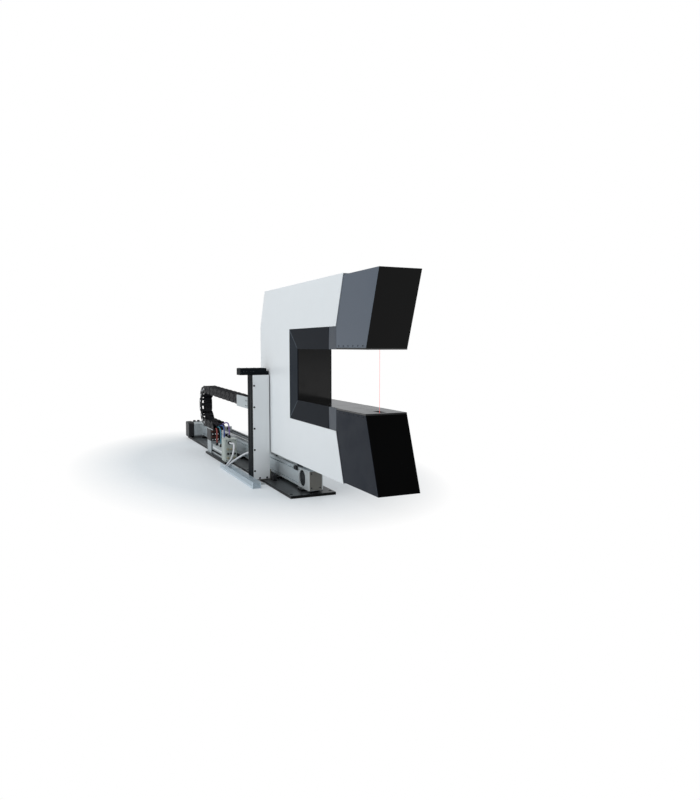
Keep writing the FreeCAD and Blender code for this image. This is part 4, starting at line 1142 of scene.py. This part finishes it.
class GAUGE_OT_chain(bpy.types.Operator):
    """Energy chain: lower run, bend and upper run with their pin bosses, and both end forks"""

    bl_idname = "gauge.chain"
    bl_label = "Energy chain"

    def execute(self, context):
        edge = 0.0009
        pins = bosses(chain_path("lower", LOWER_LINKS)[:-1], "chain")
        lower = [settle(softened("chain_lower_run", "chain", edge), None, "black_plastic", "chain_lower_run"),
                 rows_piece("lower_bosses", None, "black_plastic", pins),
                 settle(hoses("lower_hoses", chain_path("lower", 8)), None, "black_plastic")]
        for piece in lower:
            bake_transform(piece)
        dress("chain_bend", "chain", edge)
        settle(hoses("bend_hoses", chain_path("bend", 28)), "bend", "black_plastic")
        pins = bosses(chain_path("upper", UPPER_LINKS)[1:-1], "chain")
        upper = [settle(softened("chain_upper_run", "chain", edge), "carriage", "black_plastic",
                        "chain_upper_run"),
                 rows_piece("upper_bosses", "carriage", "black_plastic", pins),
                 settle(hoses("upper_hoses", chain_path("upper", 24)), "carriage", "black_plastic")]
        for piece in upper:
            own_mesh(piece)
        for node in ("chain_fixed_fork", "chain_moving_fork"):
            dress(node, "chain", edge)
        dress("tow_arm", "arm", 0.0012)
        return {"FINISHED"}


class GAUGE_OT_connections(bpy.types.Operator):
    """Stand, clamp block, valve block, terminal box, sockets and duct beside the module"""

    bl_idname = "gauge.connections"
    bl_label = "Cable connections"

    def execute(self, context):
        edge = context.scene.gauge_sizes.plate_edge
        dress("chain_stand", "arm", edge)
        dress("clamp_block", "black", 0.0015)
        dress("valve_block", ("valve", "valve_dark"), edge, lambda low, high, side: int(low.z < 0.02))
        dress("terminal_box", "terminal", 0.0025, segments=3)
        dress("cable_inlets", "black", 0.0008)
        dress("cable_duct", ("duct", "milled"), 0.0003, lambda low, high, side: int(high.z < 0.01), 1)
        return {"FINISHED"}


# Screws, bolts and other repeated details
def base_rows():
    """Screws of the post, rails, feet, bearing caps, reference piece and front cover."""
    post_x = POST[1].x
    rows = [
        ("button_head", "black", (post_x, POST[0].y + 0.007, 0.071), (0, 0, 0.126), 5, AHEAD, SCREWS["post"]),
        ("button_head", "black", (post_x, -0.171, 0.028), (0, 0.044, 0), 2, AHEAD, SCREWS["post"]),
    ]
    for y in (RAILS[0].y + 0.0075, RAILS[1].y - 0.0075):
        place = (RAILS[0].x + 0.030, y, RAILS[1].z)
        rows.append(("sunk_head", "dark_screw", place, (0.060, 0, 0), 39, UP, SCREWS["rail"]))
    step = (FRONT_AXLE - 0.030 - FEET[0].x) / 6
    for y in (FEET[0].y + 0.008, FEET[1].y - 0.008):
        place = (FEET[0].x + 0.030, y, FEET[1].z)
        rows.append(("socket_head", "dark_screw", place, (step, 0, 0), 7, UP, SCREWS["feet"]))
    ring, face = 0.036, -0.041
    for x in (FRONT_AXLE, REAR_AXLE):
        for i in range(6):
            turn = math.pi * (i + 0.5) / 3
            place = (x + ring * math.cos(turn), face, AXLE_Z + ring * math.sin(turn))
            rows.append(single("socket_head", "dark_screw", place, NEAR, SCREWS["cap"]))
    for y in (CARRIER[0].y + 0.020, CARRIER[0].y + 0.062):
        place = (CARRIER[1].x, y, CARRIER[1].z - 0.020)
        rows.append(("button_head", "dark_screw", place, (0, 0.018, 0), 2, AHEAD, SCREWS["trim"]))
    for x in (CARRIER[0].x + 0.012, CARRIER[1].x - 0.012):
        place = (x, CARRIER[0].y + 0.012, CARRIER[1].z)
        rows.append(("button_head", "screw", place, (0, 0.045, 0), 3, UP, SCREWS["trim"]))
    for z in (COVER[0].z + 0.016, COVER[1].z - 0.016):
        place = (COVER[1].x, COVER[0].y + 0.014, z)
        rows.append(("button_head", "dark_screw", place, (0, 0.050, 0), 2, AHEAD, SCREWS["cover"]))
    return rows


def connection_rows():
    """Details of the valve block, terminal box and clamp block, and the comb and clamps at the leads."""
    return valve_rows() + terminal_rows() + lead_rows() + clamp_rows()


def valve_rows():
    """Cap, button, label and fitting of each valve station, and the fittings at the block's end."""
    stations, joint = 8, 0.002
    step = (VALVES[1].x - VALVES[0].x + joint) / stations
    first = VALVES[0].x + (step - joint) / 2
    top, low = VALVES[1].z, VALVES[0].z
    side = VALVES[0].y + 0.002
    return [
        ("station_cap", "white", (first, -0.150, top), (step, 0, 0), stations, UP, 1.0),
        ("push_button", "blue", (first, -0.129, top), (step, 0, 0), stations, UP, 0.0045),
        ("station_label", "white", (first, side, top - 0.022), (step, 0, 0), stations, NEAR, 1.0),
        ("fitting", "black", (first, side, low + 0.034), (step, 0, 0), stations, NEAR, 0.0065),
        ("fitting", "brass", (VALVES[1].x, -0.160, low + 0.030), (0, 0.022, 0), 2, AHEAD, 0.006),
    ]


def terminal_rows():
    """Lid of the terminal box, its screws, and the fittings at its end."""
    middle, across, high = (TERMINALS[0] + TERMINALS[1]) / 2
    face, end = TERMINALS[0].y, TERMINALS[1].x
    rows = [single("box_lid", "terminal", (middle, face, high), NEAR)]
    for z in (high - 0.067, high + 0.067):
        rows.append(("button_head", "screw", (middle - 0.034, face - 0.003, z), (0.068, 0, 0), 2, NEAR,
                     SCREWS["trim"]))
        rows.append(("button_head", "screw", (end, across - 0.031, z), (0, 0.062, 0), 2, AHEAD,
                     SCREWS["trim"]))
    for number, finish in enumerate(("brass", "black", "brass")):
        z = TERMINALS[0].z + 0.028 + 0.030 * number
        rows.append(("fitting", finish, (end, across - 0.022, z), (0, 0.022, 0), 3, AHEAD, 0.0075))
    return rows


def lead_rows():
    """Clamps beside the post and the comb that parts the leads."""
    floor = BASE[1].z
    foot_x, foot_y = POST[1].x + 0.020, -0.097
    comb_x = CHAIN_END + 0.052
    comb_low = LOWER_Z - 0.027
    rows = [
        ("foot_clamp", "black", (foot_x, foot_y, floor), (0.030, 0, 0), 2, UP, 1.0),
        ("socket_head", "dark_screw", (foot_x, foot_y, floor + 0.034), (0.030, 0, 0), 2, UP, SCREWS["clamp"]),
        single("comb_bar", "black", (comb_x, CHAIN_MIDDLE, comb_low - 0.0056), UP),
    ]
    for y in (-0.1975, -0.171, -0.155, -0.1395, -0.1145):
        rows.append(single("comb_tooth", "black", (comb_x, y, comb_low), UP))
    return rows


def clamp_rows():
    """Connectors on the clamp block's end, and the buttons on two rows of them."""
    face, near, low = CLAMP[1].x, CLAMP[0].y + 0.012, CLAMP[0].z + 0.012
    step = (0, 0.0195, 0)
    rows = []
    for number, finish in enumerate(("black", "brown", "black", "brown")):
        rows.append(("connector", finish, (face, near, low + 0.020 * number), step, 4, AHEAD, 1.0))
    for z in (low, low + 0.040):
        rows.append(("push_button", "white", (face + 0.016, near, z), step, 4, AHEAD, 0.004))
    return rows


def motor_rows():
    """Ribs along the motor's two upright sides and its top, and the flange screws."""
    count, step = 12, (0, 0.008, 0)
    half_rib = 0.052
    first = MOTOR[0].y + 0.014
    middle = (MOTOR[0] + MOTOR[1]) / 2
    rows = [("motor_rib", "rib", (x, first, middle.z - half_rib), step, count, UP, 1.0)
            for x in (MOTOR[0].x, MOTOR[1].x)]
    rows.append(("motor_rib", "rib", (middle.x - half_rib, first, MOTOR[1].z), step, count, AHEAD, 1.0))
    for z in (FLANGE[0].z + 0.009, FLANGE[1].z - 0.009):
        place = (FLANGE[0].x + 0.022, MOTOR_CAP[0].y, z)
        rows.append(("socket_head", "screw", place, (0.080, 0, 0), 2, NEAR, SCREWS["flange"]))
    return rows


def carriage_rows():
    """Screws along the heads, on the carriage plate and on the tow arm."""
    rows = []
    head_x = LOWER_HEAD[0].x + 0.030
    for z in (LOWER_PLATE[0].z - 0.009, UPPER_PLATE[1].z + 0.009):
        for y, facing in ((LOWER_HEAD[0].y, NEAR), (LOWER_HEAD[1].y, FAR)):
            rows.append(("button_head", "dark_screw", (head_x, y, z), (0.050, 0, 0), 6, facing,
                         SCREWS["trim"]))
    for y in (PLATE[0].y + 0.010, PLATE[1].y - 0.010):
        place = (PLATE[0].x + 0.035, y, PLATE[1].z)
        rows.append(("socket_head", "screw", place, (0.100, 0, 0), 5, UP, SCREWS["plate"]))
    for x in (ARM[1].x - 0.040, ARM[1].x - 0.014):
        place = (x, ARM[0].y, ARM[0].z + 0.016)
        rows.append(("button_head", "dark_screw", place, (0, 0, 0.030), 2, NEAR, SCREWS["trim"]))
    return rows


class GAUGE_OT_fasteners(bpy.types.Operator):
    """Screws, ribs, details of the connections and the bend's pin bosses, all in rows"""

    bl_idname = "gauge.fasteners"
    bl_label = "Fasteners"

    def execute(self, context):
        rows_piece("base_fasteners", "base", "steel", base_rows())
        rows_piece("motor_ribs", "base", "steel", motor_rows())
        rows_piece("connection_details", "base", "black_plastic", connection_rows())
        rows_piece("carriage_fasteners", "carriage", "steel", carriage_rows())
        rows_piece("bend_bosses", "bend", "black_plastic", bosses(chain_path("bend", BEND_LINKS)))
        remove_small_pieces()
        return {"FINISHED"}


class GAUGE_OT_finishes(bpy.types.Operator):
    """Finishes, small pieces and the tree that sets them in rows"""

    bl_idname = "gauge.finishes"
    bl_label = "Finishes"

    def execute(self, context):
        make_finishes(context.scene.gauge_tones)
        row_tree()
        make_small_pieces()
        return {"FINISHED"}


OPERATORS = (GAUGE_OT_finishes, GAUGE_OT_stage, GAUGE_OT_leads, GAUGE_OT_module, GAUGE_OT_motor,
             GAUGE_OT_carriage, GAUGE_OT_frame, GAUGE_OT_heads, GAUGE_OT_post, GAUGE_OT_chain,
             GAUGE_OT_connections, GAUGE_OT_fasteners)


class GAUGE_PT_panel(bpy.types.Panel):
    """Lists the gauge's operators and settings"""

    bl_idname = "GAUGE_PT_panel"
    bl_label = "Laser thickness gauge"
    bl_space_type = "VIEW_3D"
    bl_region_type = "UI"
    bl_category = "Gauge"

    def draw(self, context):
        for operator in OPERATORS:
            self.layout.operator(operator.bl_idname)
        for group in (context.scene.gauge_tones, context.scene.gauge_sizes):
            for name in group.bl_rna.properties.keys():
                if name not in ("rna_type", "name"):
                    self.layout.prop(group, name)


CLASSES = (GaugeTones, GaugeSizes) + OPERATORS + (GAUGE_PT_panel,)


def register():
    for item in CLASSES:
        bpy.utils.register_class(item)
    bpy.types.Scene.gauge_tones = bpy.props.PointerProperty(type=GaugeTones)
    bpy.types.Scene.gauge_sizes = bpy.props.PointerProperty(type=GaugeSizes)


def unregister():
    del bpy.types.Scene.gauge_sizes
    del bpy.types.Scene.gauge_tones
    for item in reversed(CLASSES):
        bpy.utils.unregister_class(item)


def main():
    register()
    for operator in OPERATORS:
        getattr(bpy.ops.gauge, operator.bl_idname.split(".")[1])()


if __name__ == "__main__":
    main()
